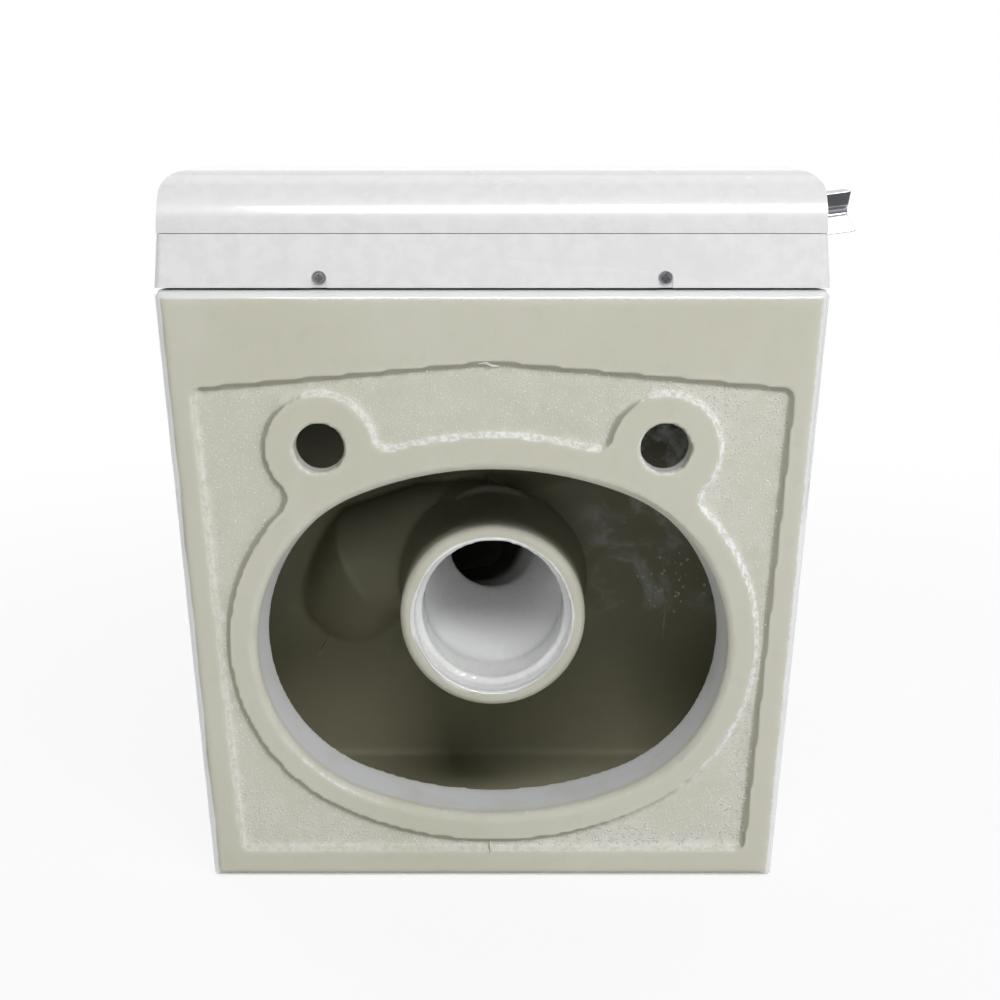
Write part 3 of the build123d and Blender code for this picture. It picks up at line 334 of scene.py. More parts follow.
def plasticMaterial(name, look):
    habit = plasticHabit
    material, tree, shader, coords = startMaterial(name)
    grain = useGroup(tree, mouldGrain, Vector=coords, Scale=look["grain"], Wave=habit["wave"])
    wear = useGroup(tree, edgeWearAndCreaseShade, Vector=coords, Reach=habit["wearReach"], Breakup=habit["wearBreakup"])
    film = useGroup(tree, dust, Vector=coords, Amount=look["dirt"], Specks=habit["specks"])
    base = mixColor(tree, ramp(tree, grain["Cloud"], *habit["cloud"]), look["color"], look["shade"])
    base = cover(tree, base, look["wear"], wear["Edge"], habit["edge"])
    base = cover(tree, base, darker(look["shade"], habit["grooveShade"]), wear["Groove"], habit["groove"])
    base = cover(tree, base, habit["film"], film["Film"])
    base = cover(tree, base, habit["speck"], film["Speck"])
    link(tree, base, shader.inputs["Base Color"])
    low, high = look["rough"] - look["spread"], look["rough"] + look["spread"]
    rough = ramp(tree, grain["Cloud"], *habit["roughCloud"], low, high)
    rough = maths(tree, "ADD", rough, maths(tree, "MULTIPLY", film["Film"], habit["filmRough"]), clamp=True)
    link(tree, rough, shader.inputs["Roughness"])
    shader.inputs["Coat Weight"].default_value = look["coat"]
    shader.inputs["Coat Roughness"].default_value = habit["coatRough"]
    shader.inputs["IOR"].default_value = habit["refraction"]
    fine = maths(tree, "MULTIPLY", grain["Grain"], look["grainDepth"])
    broad = maths(tree, "MULTIPLY", grain["Swell"], look["swell"])
    bumpInto(tree, shader, maths(tree, "ADD", fine, broad), 1.0)
    return material


metalFinishes = {
    "zincSteel": dict(
        color=(0.50, 0.51, 0.53), shade=(0.33, 0.34, 0.36), rough=0.30, spread=0.10, line=0.00002, stain=0.35,
    ),
    "pinSteel": dict(
        color=(0.56, 0.57, 0.58), shade=(0.42, 0.43, 0.45), rough=0.22, spread=0.08, line=0.00002, stain=0.15,
    ),
    "knobChrome": dict(
        color=(0.43, 0.44, 0.46), shade=(0.36, 0.37, 0.39), rough=0.24, spread=0.05, line=0.000003,
        stain=0.12,
    ),
    "turnedBrass": dict(
        color=(0.62, 0.45, 0.19), shade=(0.45, 0.31, 0.12), rough=0.27, spread=0.09, line=0.00003, stain=0.35,
    ),
}
metalHabit = {
    "fine": 1600.0, "wearReach": 0.09, "wearBreakup": 260.0, "specks": 1400.0, "smear": (0.3, 0.75),
    "line": 0.2, "edge": 0.6, "edgeColor": (0.85, 0.85, 0.85), "groove": 0.6, "grooveShade": 0.35,
    "speck": 0.6, "speckShade": 0.5, "filmRough": 0.3,
}


def metalMaterial(name, look):
    habit = metalHabit
    material, tree, shader, coords = startMaterial(name)
    brush = useGroup(tree, brushed, Vector=coords, Fine=habit["fine"])
    wear = useGroup(tree, edgeWearAndCreaseShade, Vector=coords, Reach=habit["wearReach"], Breakup=habit["wearBreakup"])
    film = useGroup(tree, dust, Vector=coords, Amount=look["stain"], Specks=habit["specks"])
    base = mixColor(tree, ramp(tree, brush["Smear"], *habit["smear"]), look["color"], look["shade"])
    base = cover(tree, base, look["shade"], brush["Line"], habit["line"])
    base = cover(tree, base, habit["edgeColor"], wear["Edge"], habit["edge"])
    base = cover(tree, base, darker(look["shade"], habit["grooveShade"]), wear["Groove"], habit["groove"])
    base = cover(tree, base, darker(look["shade"], habit["speckShade"]), film["Speck"], habit["speck"])
    link(tree, base, shader.inputs["Base Color"])
    shader.inputs["Metallic"].default_value = 1.0
    low, high = look["rough"] - look["spread"], look["rough"] + look["spread"]
    rough = ramp(tree, brush["Smear"], *habit["smear"], low, high)
    rough = maths(tree, "ADD", rough, maths(tree, "MULTIPLY", film["Film"], habit["filmRough"]), clamp=True)
    link(tree, rough, shader.inputs["Roughness"])
    bumpInto(tree, shader, maths(tree, "MULTIPLY", brush["Line"], look["line"]), 1.0)
    return material


hoseLook = dict(
    color=(0.62, 0.66, 0.68), shade=(0.48, 0.53, 0.56), film=(0.5, 0.49, 0.46), braid=2200.0, wave=60.0,
    dirt=0.3, specks=900.0, cloud=(0.3, 0.7), rough=(0.2, 0.38), glow=0.25, glowDepth=0.003,
    grainDepth=0.00003,
)


def hoseMaterial():
    look = hoseLook
    material, tree, shader, coords = startMaterial("hosePale")
    grain = useGroup(tree, mouldGrain, Vector=coords, Scale=look["braid"], Wave=look["wave"])
    film = useGroup(tree, dust, Vector=coords, Amount=look["dirt"], Specks=look["specks"])
    base = mixColor(tree, ramp(tree, grain["Cloud"], *look["cloud"]), look["color"], look["shade"])
    base = cover(tree, base, look["film"], film["Film"])
    link(tree, base, shader.inputs["Base Color"])
    link(tree, ramp(tree, grain["Cloud"], *look["cloud"], *look["rough"]), shader.inputs["Roughness"])
    shader.inputs["Subsurface Weight"].default_value = look["glow"]
    shader.inputs["Subsurface Scale"].default_value = look["glowDepth"]
    bumpInto(tree, shader, maths(tree, "MULTIPLY", grain["Grain"], look["grainDepth"]), 1.0)
    return material


gritFinish = dict(
    color=(0.86, 0.87, 0.84), shade=(0.70, 0.71, 0.66), tintScale=300.0, tintDetail=2.0, tint=(0.35, 0.65),
    roughTint=(0.3, 0.7), rough=(0.12, 0.34), coat=0.5, grain=1800.0, grainDepth=0.00002,
)


def gritMaterial():
    look = gritFinish
    material, tree, shader, coords = startMaterial("glassGrit")
    tint = noiseOf(tree, coords, look["tintScale"], look["tintDetail"])
    base = mixColor(tree, ramp(tree, tint, *look["tint"]), look["color"], look["shade"])
    link(tree, base, shader.inputs["Base Color"])
    link(tree, ramp(tree, tint, *look["roughTint"], *look["rough"]), shader.inputs["Roughness"])
    shader.inputs["Coat Weight"].default_value = look["coat"]
    height = maths(tree, "MULTIPLY", noiseOf(tree, coords, look["grain"]), look["grainDepth"])
    bumpInto(tree, shader, height, 1.0)
    return material


finishes = {name: plasticMaterial(name, look) for name, look in plasticFinishes.items()}
finishes.update({name: metalMaterial(name, look) for name, look in metalFinishes.items()})
finishes["hosePale"] = hoseMaterial()
finishes["glassGrit"] = gritMaterial()
print("plastic and metal finishes built:", len(finishes))

# The china: white glaze outside, bare biscuit behind

china = {
    "biscuit": (0.545, 0.54, 0.445), "biscuitPale": (0.62, 0.615, 0.535), "biscuitDeep": (0.43, 0.425, 0.325),
    # Painted light in this table: the dark olive and the near black are painted shade deeper in and high up
    # in the hollow, and the near black also where the bore turns; the grey is painted shade down the bore;
    # the near white is a painted highlight on boss slopes facing the lamp; the dark olive after it is painted
    # shade on slopes facing down
    "cavityShade": (0.30, 0.29, 0.185), "lipCoat": (0.66, 0.67, 0.68), "darkShade": (0.035, 0.034, 0.028),
    "boreShade": (0.20, 0.20, 0.195), "slopeHighlight": (0.88, 0.89, 0.90), "groove": (0.22, 0.215, 0.15),
    "glaze": (0.83, 0.84, 0.835), "glazeShade": (0.79, 0.80, 0.795), "glazeFilm": (0.66, 0.65, 0.61),
    "grit": (0.88, 0.88, 0.86),
    "footHalfWidth": 0.152, "rimHalfWidth": 0.1732, "footLevel": -0.238, "rimLevel": 0.0816,
    "basinRadius": 0.134, "basinLevel": 0.058, "basinRun": (-0.392, -0.252), "sumpReach": -0.252,
    "sumpLevels": (-0.206, -0.05), "sumpRadii": (0.0385, 0.0625), "spigotLevel": -0.1004,
    "mouthRadius": 0.0438,
    "openingHalf": (0.1254, 0.0953), "openingMiddle": -0.1064, "panelDepth": 0.0035, "boreTurn": -0.128,
}

# In the dictionaries below a noise is scale, detail, roughness and distortion. Most other pairs are the two
# ends of a ramp, and most fours are those and what the ramp gives there
glazeEdge = {
    "wobbleNoise": (26.0, 4.0), "wobble": 0.003, "noiseMiddle": 0.5, "inset": 0.0042, "insetFade": 0.0012,
    "pastPocket": (-0.170, -0.176), "bodyMiddle": (0.24, 0.05), "outward": (-0.004, 0.004),
    "rim": (0.0045, 0.0030), "under": (0.0032, 0.0020), "basinFade": 0.002, "sumpFade": 0.002,
    "raggedNoise": (38.0, 3.0), "ragged": 0.0040, "mouth": (0.0010, 0.0004),
}


def centred(tree, value):
    return maths(tree, "SUBTRACT", value, glazeEdge["noiseMiddle"])


def outerGlaze(tree, coords, place):
    x, y, z = place
    edge = glazeEdge
    # the outer sides, up to a wavy line just short of the back face
    wobble = centred(tree, noiseOf(tree, coords, *edge["wobbleNoise"]))
    levels, widths = (china["footLevel"], china["rimLevel"]), (china["footHalfWidth"], china["rimHalfWidth"])
    halfWidth = ramp(tree, z, *levels, *widths, smooth=False)
    inset = maths(tree, "SUBTRACT", halfWidth, maths(tree, "ABSOLUTE", x))
    inset = maths(tree, "ADD", inset, maths(tree, "MULTIPLY", wobble, edge["wobble"]))
    sides = ramp(tree, inset, edge["inset"], edge["inset"] - edge["insetFade"])
    # everything past the rear hollow that faces outward
    normal = partsOf(tree, normalOf(tree))
    outX = maths(tree, "MULTIPLY", normal["X"], x)
    outY = maths(tree, "MULTIPLY", normal["Y"], maths(tree, "ADD", y, edge["bodyMiddle"][0]))
    outZ = maths(tree, "MULTIPLY", normal["Z"], maths(tree, "ADD", z, edge["bodyMiddle"][1]))
    outward = ramp(tree, total(tree, outX, outY, outZ), *edge["outward"])
    front = maths(tree, "MULTIPLY", ramp(tree, y, *edge["pastPocket"]), outward)
    rim = ramp(tree, z, *[china["rimLevel"] - step for step in edge["rim"]])
    under = ramp(tree, z, *[china["footLevel"] + step for step in edge["under"]])
    return sides, front, rim, under


def innerGlaze(tree, coords, place):
    x, y, z = place
    edge = glazeEdge
    low, high = china["basinRun"]
    along = maths(tree, "SUBTRACT", y, maths(tree, "MINIMUM", maths(tree, "MAXIMUM", y, low), high))
    fall = maths(tree, "MINIMUM", maths(tree, "SUBTRACT", z, china["basinLevel"]), 0.0)
    reach = distanceOf(tree, x, along, fall)
    basin = ramp(tree, reach, china["basinRadius"] + edge["basinFade"], china["basinRadius"])
    sumpReach = distanceOf(tree, x, maths(tree, "SUBTRACT", y, china["sumpReach"]))
    sumpWide = ramp(tree, z, *china["sumpLevels"], *china["sumpRadii"], smooth=False)
    sump = ramp(tree, maths(tree, "SUBTRACT", sumpReach, sumpWide), edge["sumpFade"], 0.0)
    bore = distanceOf(tree, x, maths(tree, "SUBTRACT", z, china["spigotLevel"]))
    ragged = centred(tree, noiseOf(tree, coords, *edge["raggedNoise"]))
    ragged = maths(tree, "MULTIPLY", ragged, edge["ragged"])
    mouth = maths(tree, "ADD", bore, ragged)
    boreIn = ramp(tree, mouth, *[china["mouthRadius"] + step for step in edge["mouth"]])
    return (basin, sump, boreIn), bore


def glazeMask(tree, coords, place):
    mask, *others = outerGlaze(tree, coords, place)
    inner, bore = innerGlaze(tree, coords, place)
    for part in (*others, *inner):
        mask = maths(tree, "MAXIMUM", mask, part)
    return mask, bore


biscuitLook = {
    "broadNoise": (5.0, 3.0, 0.5, 0.4), "mottledNoise": (60.0, 6.0, 0.65), "sandNoise": (900.0, 2.0, 0.6),
    "wipe": (1.0, 1.0, 0.12), "wipedNoise": (55.0, 4.0, 0.6), "broad": (0.30, 0.72, 0.0, 0.55),
    "mottled": (0.50, 0.85, 0.0, 0.30), "wiped": (0.52, 0.75, 0.0, 0.16), "wearReach": 0.10,
    "wearBreakup": 60.0, "groove": 0.35, "edge": 0.45, "dirt": 0.25, "specks": 260.0,
    "rough": (0.3, 0.7, 0.62, 0.82), "gritRough": 0.22, "sandHeight": 0.00010, "pitHeight": 0.00025,
    "gritHeight": 0.0005,
}


def biscuitTone(tree, coords, broad, mottled):
    # broad stains, and wiping marks along the slip
    look = biscuitLook
    wiped = noiseOf(tree, stretched(tree, coords, look["wipe"]), *look["wipedNoise"])
    tone = mixColor(tree, ramp(tree, broad, *look["broad"]), china["biscuit"], china["biscuitPale"])
    tone = cover(tree, tone, china["biscuitDeep"], ramp(tree, mottled, *look["mottled"]))
    return cover(tree, tone, china["biscuitPale"], ramp(tree, wiped, *look["wiped"]))


hollowLook = {
    "edgeOn": (0.75, 0.35), "lipStart": (-0.0045, -0.009), "lipEnd": (-0.040, -0.026),
    "lipPatch": (0.20, 0.55, 0.45, 0.95), "deep": (-0.026, -0.060), "cavityShade": 0.80,
    "darkShadeDepth": (-0.045, -0.085), "darkShadeLevel": (-0.060, -0.015), "darkShade": 0.70,
    "chalkNoise": (30.0, 6.0, 0.70, 0.6), "chalkPatch": (0.50, 0.66), "chalkSide": (-0.045, -0.070),
    "chalkLevel": (-0.145, -0.115), "chalk": 0.70,
}


def hollowTone(tree, tone, coords, place, facing, mottled):
    x, y, z = place
    look = hollowLook
    edgeOn = ramp(tree, maths(tree, "ABSOLUTE", facing["Y"]), *look["edgeOn"])
    lip = maths(tree, "MULTIPLY", ramp(tree, y, *look["lipStart"]), ramp(tree, y, *look["lipEnd"]))
    lip = product(tree, lip, edgeOn, ramp(tree, mottled, *look["lipPatch"]))
    tone = cover(tree, tone, china["lipCoat"], lip)
    # painted shade: the wall takes a dark olive colour deeper in the hollow
    deepIn = ramp(tree, y, *look["deep"])
    tone = cover(tree, tone, china["cavityShade"], deepIn, look["cavityShade"])
    # painted shadow: near black high up and deep inside the hollow, under its top lip
    highShade = maths(tree, "MULTIPLY", ramp(tree, y, *look["darkShadeDepth"]), ramp(tree, z, *look["darkShadeLevel"]))
    tone = cover(tree, tone, china["darkShade"], highShade, look["darkShade"])
    # chalky marks on the wall at the knob's side
    chalk = ramp(tree, noiseOf(tree, coords, *look["chalkNoise"]), *look["chalkPatch"])
    chalkHere = product(tree, deepIn, ramp(tree, x, *look["chalkSide"]), ramp(tree, z, *look["chalkLevel"]))
    return cover(tree, tone, china["lipCoat"], maths(tree, "MULTIPLY", chalk, chalkHere), look["chalk"])


panelLook = {
    "band": (0.0016, 0.0008), "cells": 620.0, "chips": (0.42, 0.12), "patchNoise": (24.0, 5.0, 0.65),
    "patch": (0.36, 0.62, 0.18, 1.0), "sideways": (0.02, -0.12, 0.45, 1.0), "low": (-0.16, -0.215, 0.0, 0.6),
    "bloom": 0.22, "grit": 0.85, "foot": (0.0032, 0.0016), "glintNoise": (130.0, 3.0, 0.6),
    "glintPatch": (0.42, 0.60), "glint": 0.8,
}


def panelTone(tree, tone, coords, place, wear):
    # the sunk panel: glassy grit that catches the light
    x, y, z = place
    look = panelLook
    depth = maths(tree, "ABSOLUTE", maths(tree, "ADD", y, china["panelDepth"]))
    panel = ramp(tree, depth, *look["band"])
    cells = addNode(tree, "ShaderNodeTexVoronoi")
    link(tree, coords, cells.inputs["Vector"])
    cells.inputs["Scale"].default_value = look["cells"]
    chips = ramp(tree, cells.outputs["Distance"], *look["chips"])
    patchy = ramp(tree, noiseOf(tree, coords, *look["patchNoise"]), *look["patch"])
    share = maths(tree, "ADD", ramp(tree, x, *look["sideways"]), ramp(tree, z, *look["low"]))
    seeded = maths(tree, "MULTIPLY", patchy, share, clamp=True)
    grit = product(tree, chips, seeded, panel)
    tone = cover(tree, tone, china["grit"], maths(tree, "MULTIPLY", seeded, panel), look["bloom"])
    tone = cover(tree, tone, china["grit"], grit, look["grit"])
    foot = maths(tree, "MULTIPLY", ramp(tree, depth, *look["foot"]), wear["Groove"])
    glint = ramp(tree, noiseOf(tree, coords, *look["glintNoise"]), *look["glintPatch"])
    return cover(tree, tone, china["grit"], maths(tree, "MULTIPLY", foot, glint), look["glint"]), grit


slopeLook = {
    "tilt": (0.985, 0.86), "foot": (-0.0052, -0.0036), "top": (0.0002, -0.0005), "upward": 0.6,
    "oval": (1.06, 1.13), "highlightSide": (0.04, 0.22), "sparkleNoise": (330.0, 5.0, 0.75),
    "sparkle": (0.40, 0.58, 0.15, 1.0), "highlightBroad": (0.30, 0.55, 0.45, 1.0), "frameSide": (0.100, 0.112),
    "frameFoot": (-0.203, -0.210), "frameLoss": 0.62, "slopeHighlight": 0.95, "shadeSide": (-0.06, -0.25),
    "slopeShade": 0.60,
}


def slopeTone(tree, tone, coords, place, facing, broad):
    # slopes round the boss: a painted highlight in near white where they face up or to the knob's side,
    # toward the lamp, broken up by a sparkle noise, and painted shade where they face down or away
    x, y, z = place
    look = slopeLook
    outX = maths(tree, "DIVIDE", x, china["openingHalf"][0])
    outZ = maths(tree, "DIVIDE", maths(tree, "SUBTRACT", z, china["openingMiddle"]), china["openingHalf"][1])
    oval = maths(tree, "ADD", maths(tree, "MULTIPLY", outX, outX), maths(tree, "MULTIPLY", outZ, outZ))
    slope = ramp(tree, maths(tree, "ABSOLUTE", facing["Y"]), *look["tilt"])
    slope = product(tree, slope, ramp(tree, y, *look["foot"]), ramp(tree, y, *look["top"]))
    slope = maths(tree, "MULTIPLY", slope, ramp(tree, oval, *look["oval"]))
    # how far a slope faces up and to the knob's side, the way the lamp lights it
    toward = maths(tree, "SUBTRACT", maths(tree, "MULTIPLY", facing["Z"], look["upward"]), facing["X"])
    sparkle = ramp(tree, noiseOf(tree, coords, *look["sparkleNoise"]), *look["sparkle"])
    sparkle = maths(tree, "MULTIPLY", sparkle, ramp(tree, broad, *look["highlightBroad"]))
    slopeHighlight = product(tree, slope, ramp(tree, toward, *look["highlightSide"]), sparkle)
    outerEdge = maths(tree, "MAXIMUM", ramp(tree, x, *look["frameSide"]), ramp(tree, z, *look["frameFoot"]))
    kept = maths(tree, "SUBTRACT", 1.0, maths(tree, "MULTIPLY", outerEdge, look["frameLoss"]))
    tone = cover(tree, tone, china["slopeHighlight"], maths(tree, "MULTIPLY", slopeHighlight, kept), look["slopeHighlight"])
    slopeShade = maths(tree, "MULTIPLY", slope, ramp(tree, toward, *look["shadeSide"]))
    return cover(tree, tone, china["groove"], slopeShade, look["slopeShade"])


glazeLook = {
    "cloudNoise": (12.0, 3.0), "cloud": (0.35, 0.7), "pastSpigot": (-0.20, -0.19),
    "nearSpigot": (0.060, 0.050),
    "boreShadeStart": -0.065, "stain": (0.0, 0.62), "turn": (0.004, 0.010), "roughNoise": (30.0, 3.0),
    "rough": (0.3, 0.7, 0.05, 0.13), "coat": 0.6, "coatRough": 0.04, "refraction": 1.52,
    "runs": (1.0, 0.25, 1.0), "runNoise": (120.0, 2.0), "runHeight": 0.0011, "waveNoise": (16.0, 2.0),
    "waveHeight": 0.0006, "boreFade": 0.001,
}


def glazeTone(tree, coords, place, mask, bore):
    y = place[1]
    look = glazeLook
    film = useGroup(tree, dust, Vector=coords, Amount=biscuitLook["dirt"], Specks=biscuitLook["specks"])
    cloud = ramp(tree, noiseOf(tree, coords, *look["cloudNoise"]), *look["cloud"])
    glaze = mixColor(tree, cloud, china["glaze"], china["glazeShade"])
    glaze = cover(tree, glaze, china["glazeFilm"], film["Film"])
    # painted shade: the bore darkens inward to grey, and to near black where it turns up to the trap
    inside = product(tree, mask, ramp(tree, y, *look["pastSpigot"]), ramp(tree, bore, *look["nearSpigot"]))
    stain = ramp(tree, y, look["boreShadeStart"], china["boreTurn"], *look["stain"])
    glaze = cover(tree, glaze, china["boreShade"], maths(tree, "MULTIPLY", inside, stain))
    turned = ramp(tree, y, china["boreTurn"] + look["turn"][0], china["boreTurn"] - look["turn"][1])
    return cover(tree, glaze, china["darkShade"], maths(tree, "MULTIPLY", turned, inside))


def chinaHeight(tree, coords, mask, bore, mottled, grit):
    sand = noiseOf(tree, coords, *biscuitLook["sandNoise"])
    rough = maths(tree, "MULTIPLY", sand, biscuitLook["sandHeight"])
    rough = maths(tree, "ADD", rough, maths(tree, "MULTIPLY", mottled, biscuitLook["pitHeight"]))
    rough = maths(tree, "ADD", rough, maths(tree, "MULTIPLY", grit, biscuitLook["gritHeight"]))
    runs = noiseOf(tree, stretched(tree, coords, glazeLook["runs"]), *glazeLook["runNoise"])
    inBore = ramp(tree, bore, china["mouthRadius"] + glazeLook["boreFade"], china["mouthRadius"])
    ripple = product(tree, runs, glazeLook["runHeight"], inBore)
    wave = maths(tree, "MULTIPLY", noiseOf(tree, coords, *glazeLook["waveNoise"]), glazeLook["waveHeight"])
    return mixValue(tree, mask, rough, maths(tree, "ADD", wave, ripple))


def chinaMaterial():
    material, tree, shader, coords = startMaterial("chinaGlazeAndBiscuit")
    place = tuple(partsOf(tree, coords))
    facing = partsOf(tree, normalOf(tree))
    mask, bore = glazeMask(tree, coords, place)
    look = biscuitLook
    wear = useGroup(tree, edgeWearAndCreaseShade, Vector=coords, Reach=look["wearReach"], Breakup=look["wearBreakup"])
    broad = noiseOf(tree, coords, *look["broadNoise"])
    mottled = noiseOf(tree, coords, *look["mottledNoise"])
    tone = biscuitTone(tree, coords, broad, mottled)
    tone = hollowTone(tree, tone, coords, place, facing, mottled)
    # painted shade: darker in creases
    tone = cover(tree, tone, china["biscuitDeep"], wear["Groove"], look["groove"])
    tone = cover(tree, tone, china["grit"], wear["Edge"], look["edge"])
    tone, grit = panelTone(tree, tone, coords, place, wear)
    tone = slopeTone(tree, tone, coords, place, facing, broad)
    glaze = glazeTone(tree, coords, place, mask, bore)
    link(tree, mixColor(tree, mask, tone, glaze), shader.inputs["Base Color"])
    biscuitRough = mixValue(tree, grit, ramp(tree, mottled, *look["rough"]), look["gritRough"])
    glazeRough = ramp(tree, noiseOf(tree, coords, *glazeLook["roughNoise"]), *glazeLook["rough"])
    link(tree, mixValue(tree, mask, biscuitRough, glazeRough), shader.inputs["Roughness"])
    link(tree, maths(tree, "MULTIPLY", mask, glazeLook["coat"]), shader.inputs["Coat Weight"])
    shader.inputs["Coat Roughness"].default_value = glazeLook["coatRough"]
    shader.inputs["IOR"].default_value = glazeLook["refraction"]
    bumpInto(tree, shader, chinaHeight(tree, coords, mask, bore, mottled, grit), 1.0)
    return material


finishes["chinaGlazeAndBiscuit"] = chinaMaterial()
print("china finish built")

nodeFinish = {
    "ceramic_bowl": "chinaGlazeAndBiscuit",
    "deck_bushes": "sealBlack", "base_pads": "sealBlack", "nozzle_seal": "sealBlack",
    "seat_bumpers": "sealBlack", "lid_bumpers": "sealBlack",
    "deck_nuts": "zincSteel", "deck_bolts": "zincSteel", "housing_screws": "zincSteel",
    "hinge_pins": "pinSteel",
    "mounting_plate": "chassisGrey", "chassis": "chassisGrey", "hinge_dampers": "chassisGrey",
    "nozzle_cylinder": "chassisGrey", "nozzle_saddles": "chassisGrey", "hose_clips": "chassisGrey",
    "rear_housing": "lowerCasingWhite", "top_cover": "casingWhite", "nozzle_cap": "casingWhite",
    "nozzle_barrel": "nozzlePale", "nozzle_tip": "nozzlePale",
    "knob_handle": "knobChrome", "knob_escutcheon": "knobChrome",
    "valve_spindle": "turnedBrass", "valve_body": "turnedBrass", "inlet_connector": "turnedBrass",
    "supply_hose": "hosePale", "wash_hose": "hosePale",
    "seat_ring": "seatWhite", "lid_shell": "seatWhite",
}


def dressNodes():
    for name, finish in nodeFinish.items():
        piece = nodes[name]
        piece.data.materials.clear()
        piece.data.materials.append(finishes[finish])


dressNodes()
print("CAD nodes dressed:", len(nodeFinish))

# Camera, where the photograph was taken from

viewpoint = {
    "place": (-0.004, 0.9426, 0.1733), "down": 12.0, "round": 180.0, "focal": 1850.0, "picture": 1000.0,
    "sensor": 36.0, "clip": (0.01, 50.0),
}


def cameraTurn():
    return Euler((math.radians(90 - viewpoint["down"]), 0, math.radians(viewpoint["round"])))


def setCamera():
    data = bpy.data.cameras.new("viewCamera")
    data.sensor_width = viewpoint["sensor"]
    data.lens = viewpoint["focal"] / viewpoint["picture"] * viewpoint["sensor"]
    data.clip_start, data.clip_end = viewpoint["clip"]
    camera = bpy.data.objects.new("viewCamera", data)
    bpy.context.scene.collection.objects.link(camera)
    camera.location = viewpoint["place"]
    camera.rotation_euler = cameraTurn()
    bpy.context.scene.camera = camera


setCamera()
print("camera set")

# Cast china has soft edges and is never quite flat

casting = {"voxel": 0.0019, "rounds": 2, "ease": 0.5, "swell": 0.0003, "swellSize": 0.09, "swellMiddle": 0.5}


def softenCasting():
    bowl = nodes["ceramic_bowl"]
    remesh = bowl.modifiers.new("castSkin", "REMESH")
    remesh.mode = "VOXEL"
    remesh.voxel_size = casting["voxel"]
    remesh.use_smooth_shade = True
    ease = bowl.modifiers.new("castEdges", "SMOOTH")
    ease.iterations = casting["rounds"]
    ease.factor = casting["ease"]
    cloud = bpy.data.textures.new("castSwell", "CLOUDS")
    cloud.noise_scale = casting["swellSize"]
    swell = bowl.modifiers.new("castSwell", "DISPLACE")
    swell.texture = cloud
    swell.texture_coords = "GLOBAL"
    swell.strength = casting["swell"]
    swell.mid_level = casting["swellMiddle"]


softenCasting()


def castSurface():
    bpy.context.view_layer.update()
    return BVHTree.FromObject(nodes["ceramic_bowl"], bpy.context.evaluated_depsgraph_get())


chinaSurface = castSurface()
print("casting softened")


def onChina(across, down):
    ray = Vector((across - viewpoint["picture"] / 2, viewpoint["picture"] / 2 - down, -viewpoint["focal"]))
    ray.rotate(cameraTurn())
    place, normal, _, _ = chinaSurface.ray_cast(Vector(viewpoint["place"]), ray.normalized())
    return place, normal


def meshFrom(shape, name):
    mesh = bpy.data.meshes.new(name)
    shape.to_mesh(mesh)
    shape.free()
    return mesh


def addPiece(name, mesh, finish, body):
    piece = bpy.data.objects.new(name, mesh)
    mesh.materials.append(finishes[finish])
    bpy.context.scene.collection.objects.link(piece)
    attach(piece, body)
    return piece


# Seams that the mould's joints left, as thin raised lines through places in the photograph

castSeams = {
    "castSeamTrapSide": dict(pixels=[(330, 638), (326, 643), (322, 649), (318, 655)], wide=0.0009),
    "castSeamHollowTop": dict(pixels=[(488, 472), (488, 477), (489, 482), (489, 487)], wide=0.0008),
    "castSeamHollowSide": dict(
        pixels=[(664, 578), (665, 592), (665, 606), (664, 622), (662, 640)], wide=0.0007,
    ),
    "castSeamPanelPeak": dict(pixels=[(478, 364), (486, 363), (492, 366), (500, 366)], wide=0.0011),
    "castSeamPanelFoot": dict(pixels=[(490, 841), (490, 846), (491, 851), (490, 855)], wide=0.0011),
}


seamLook = {"facets": 2, "end": 0.25, "least": 0.8, "more": 0.3}


def addSeam(name, seam):
    curve = bpy.data.curves.new(name, "CURVE")
    curve.dimensions = "3D"
    curve.bevel_depth = seam["wide"]
    curve.bevel_resolution = seamLook["facets"]
    line = curve.splines.new("POLY")
    spots = [onChina(*pixel)[0] for pixel in seam["pixels"]]
    line.points.add(len(spots) - 1)
    for index, (point, spot) in enumerate(zip(line.points, spots)):
        point.co = (*spot, 1.0)
        atEnd = index in (0, len(spots) - 1)
        point.radius = seamLook["end"] if atEnd else seamLook["least"] + seamLook["more"] * random.random()
    addPiece(name, curve, "chinaGlazeAndBiscuit", "bowl")


for name, seam in castSeams.items():
    addSeam(name, seam)
print("mould seams:", len(castSeams))

# Glassy grit fired onto the sunk panel, and spots of glaze inside the hollow

gritLook = {
    "grains": 5200, "triesEach": 4, "size": (0.00022, 0.00062), "halfWidth": 0.150, "low": -0.226,
    "high": 0.046,
    "depth": (-0.0050, -0.0022), "start": 0.05, "sunk": 0.0001, "squash": 0.8, "corners": 4,
    "corner": (0.7, 0.6),
    "patchScale": 26.0, "plain": 0.30, "toKnob": 0.55, "knobSide": 0.12, "footLevel": -0.19, "foot": 0.6,
    "keep": 1.6,
}


def addGrain(shape, place, normal, size):
    turn = normal.to_track_quat("Z", "Y").to_matrix()
    spin = random.random() * math.tau
    least, more = gritLook["corner"]
    count = gritLook["corners"]
    corners = []
    for step in range(count):
        angle = spin + step * math.tau / count
        reach = size * (least + more * random.random())
        corner = Vector((reach * math.cos(angle), reach * math.sin(angle), 0))
        corners.append(shape.verts.new(place + turn @ corner))
    top = shape.verts.new(place + turn @ Vector((0, 0, size * gritLook["squash"])))
    for step in range(count):
        shape.faces.new((corners[step], corners[(step + 1) % count], top))


def keepGrain(place):
    # thicker toward the knob's side and near the foot
    look = gritLook
    patch = noise.noise(place * look["patchScale"]) * 0.5 + 0.5
    toward = look["plain"] + look["toKnob"] * min(max(-place.x / look["knobSide"], 0.0), 1.0)
    low = look["foot"] if place.z < look["footLevel"] else 0.0
    return random.random() < patch * patch * (toward + low) * look["keep"]


def onPanel(place):
    low, high = gritLook["depth"]
    return place is not None and low < place.y < high


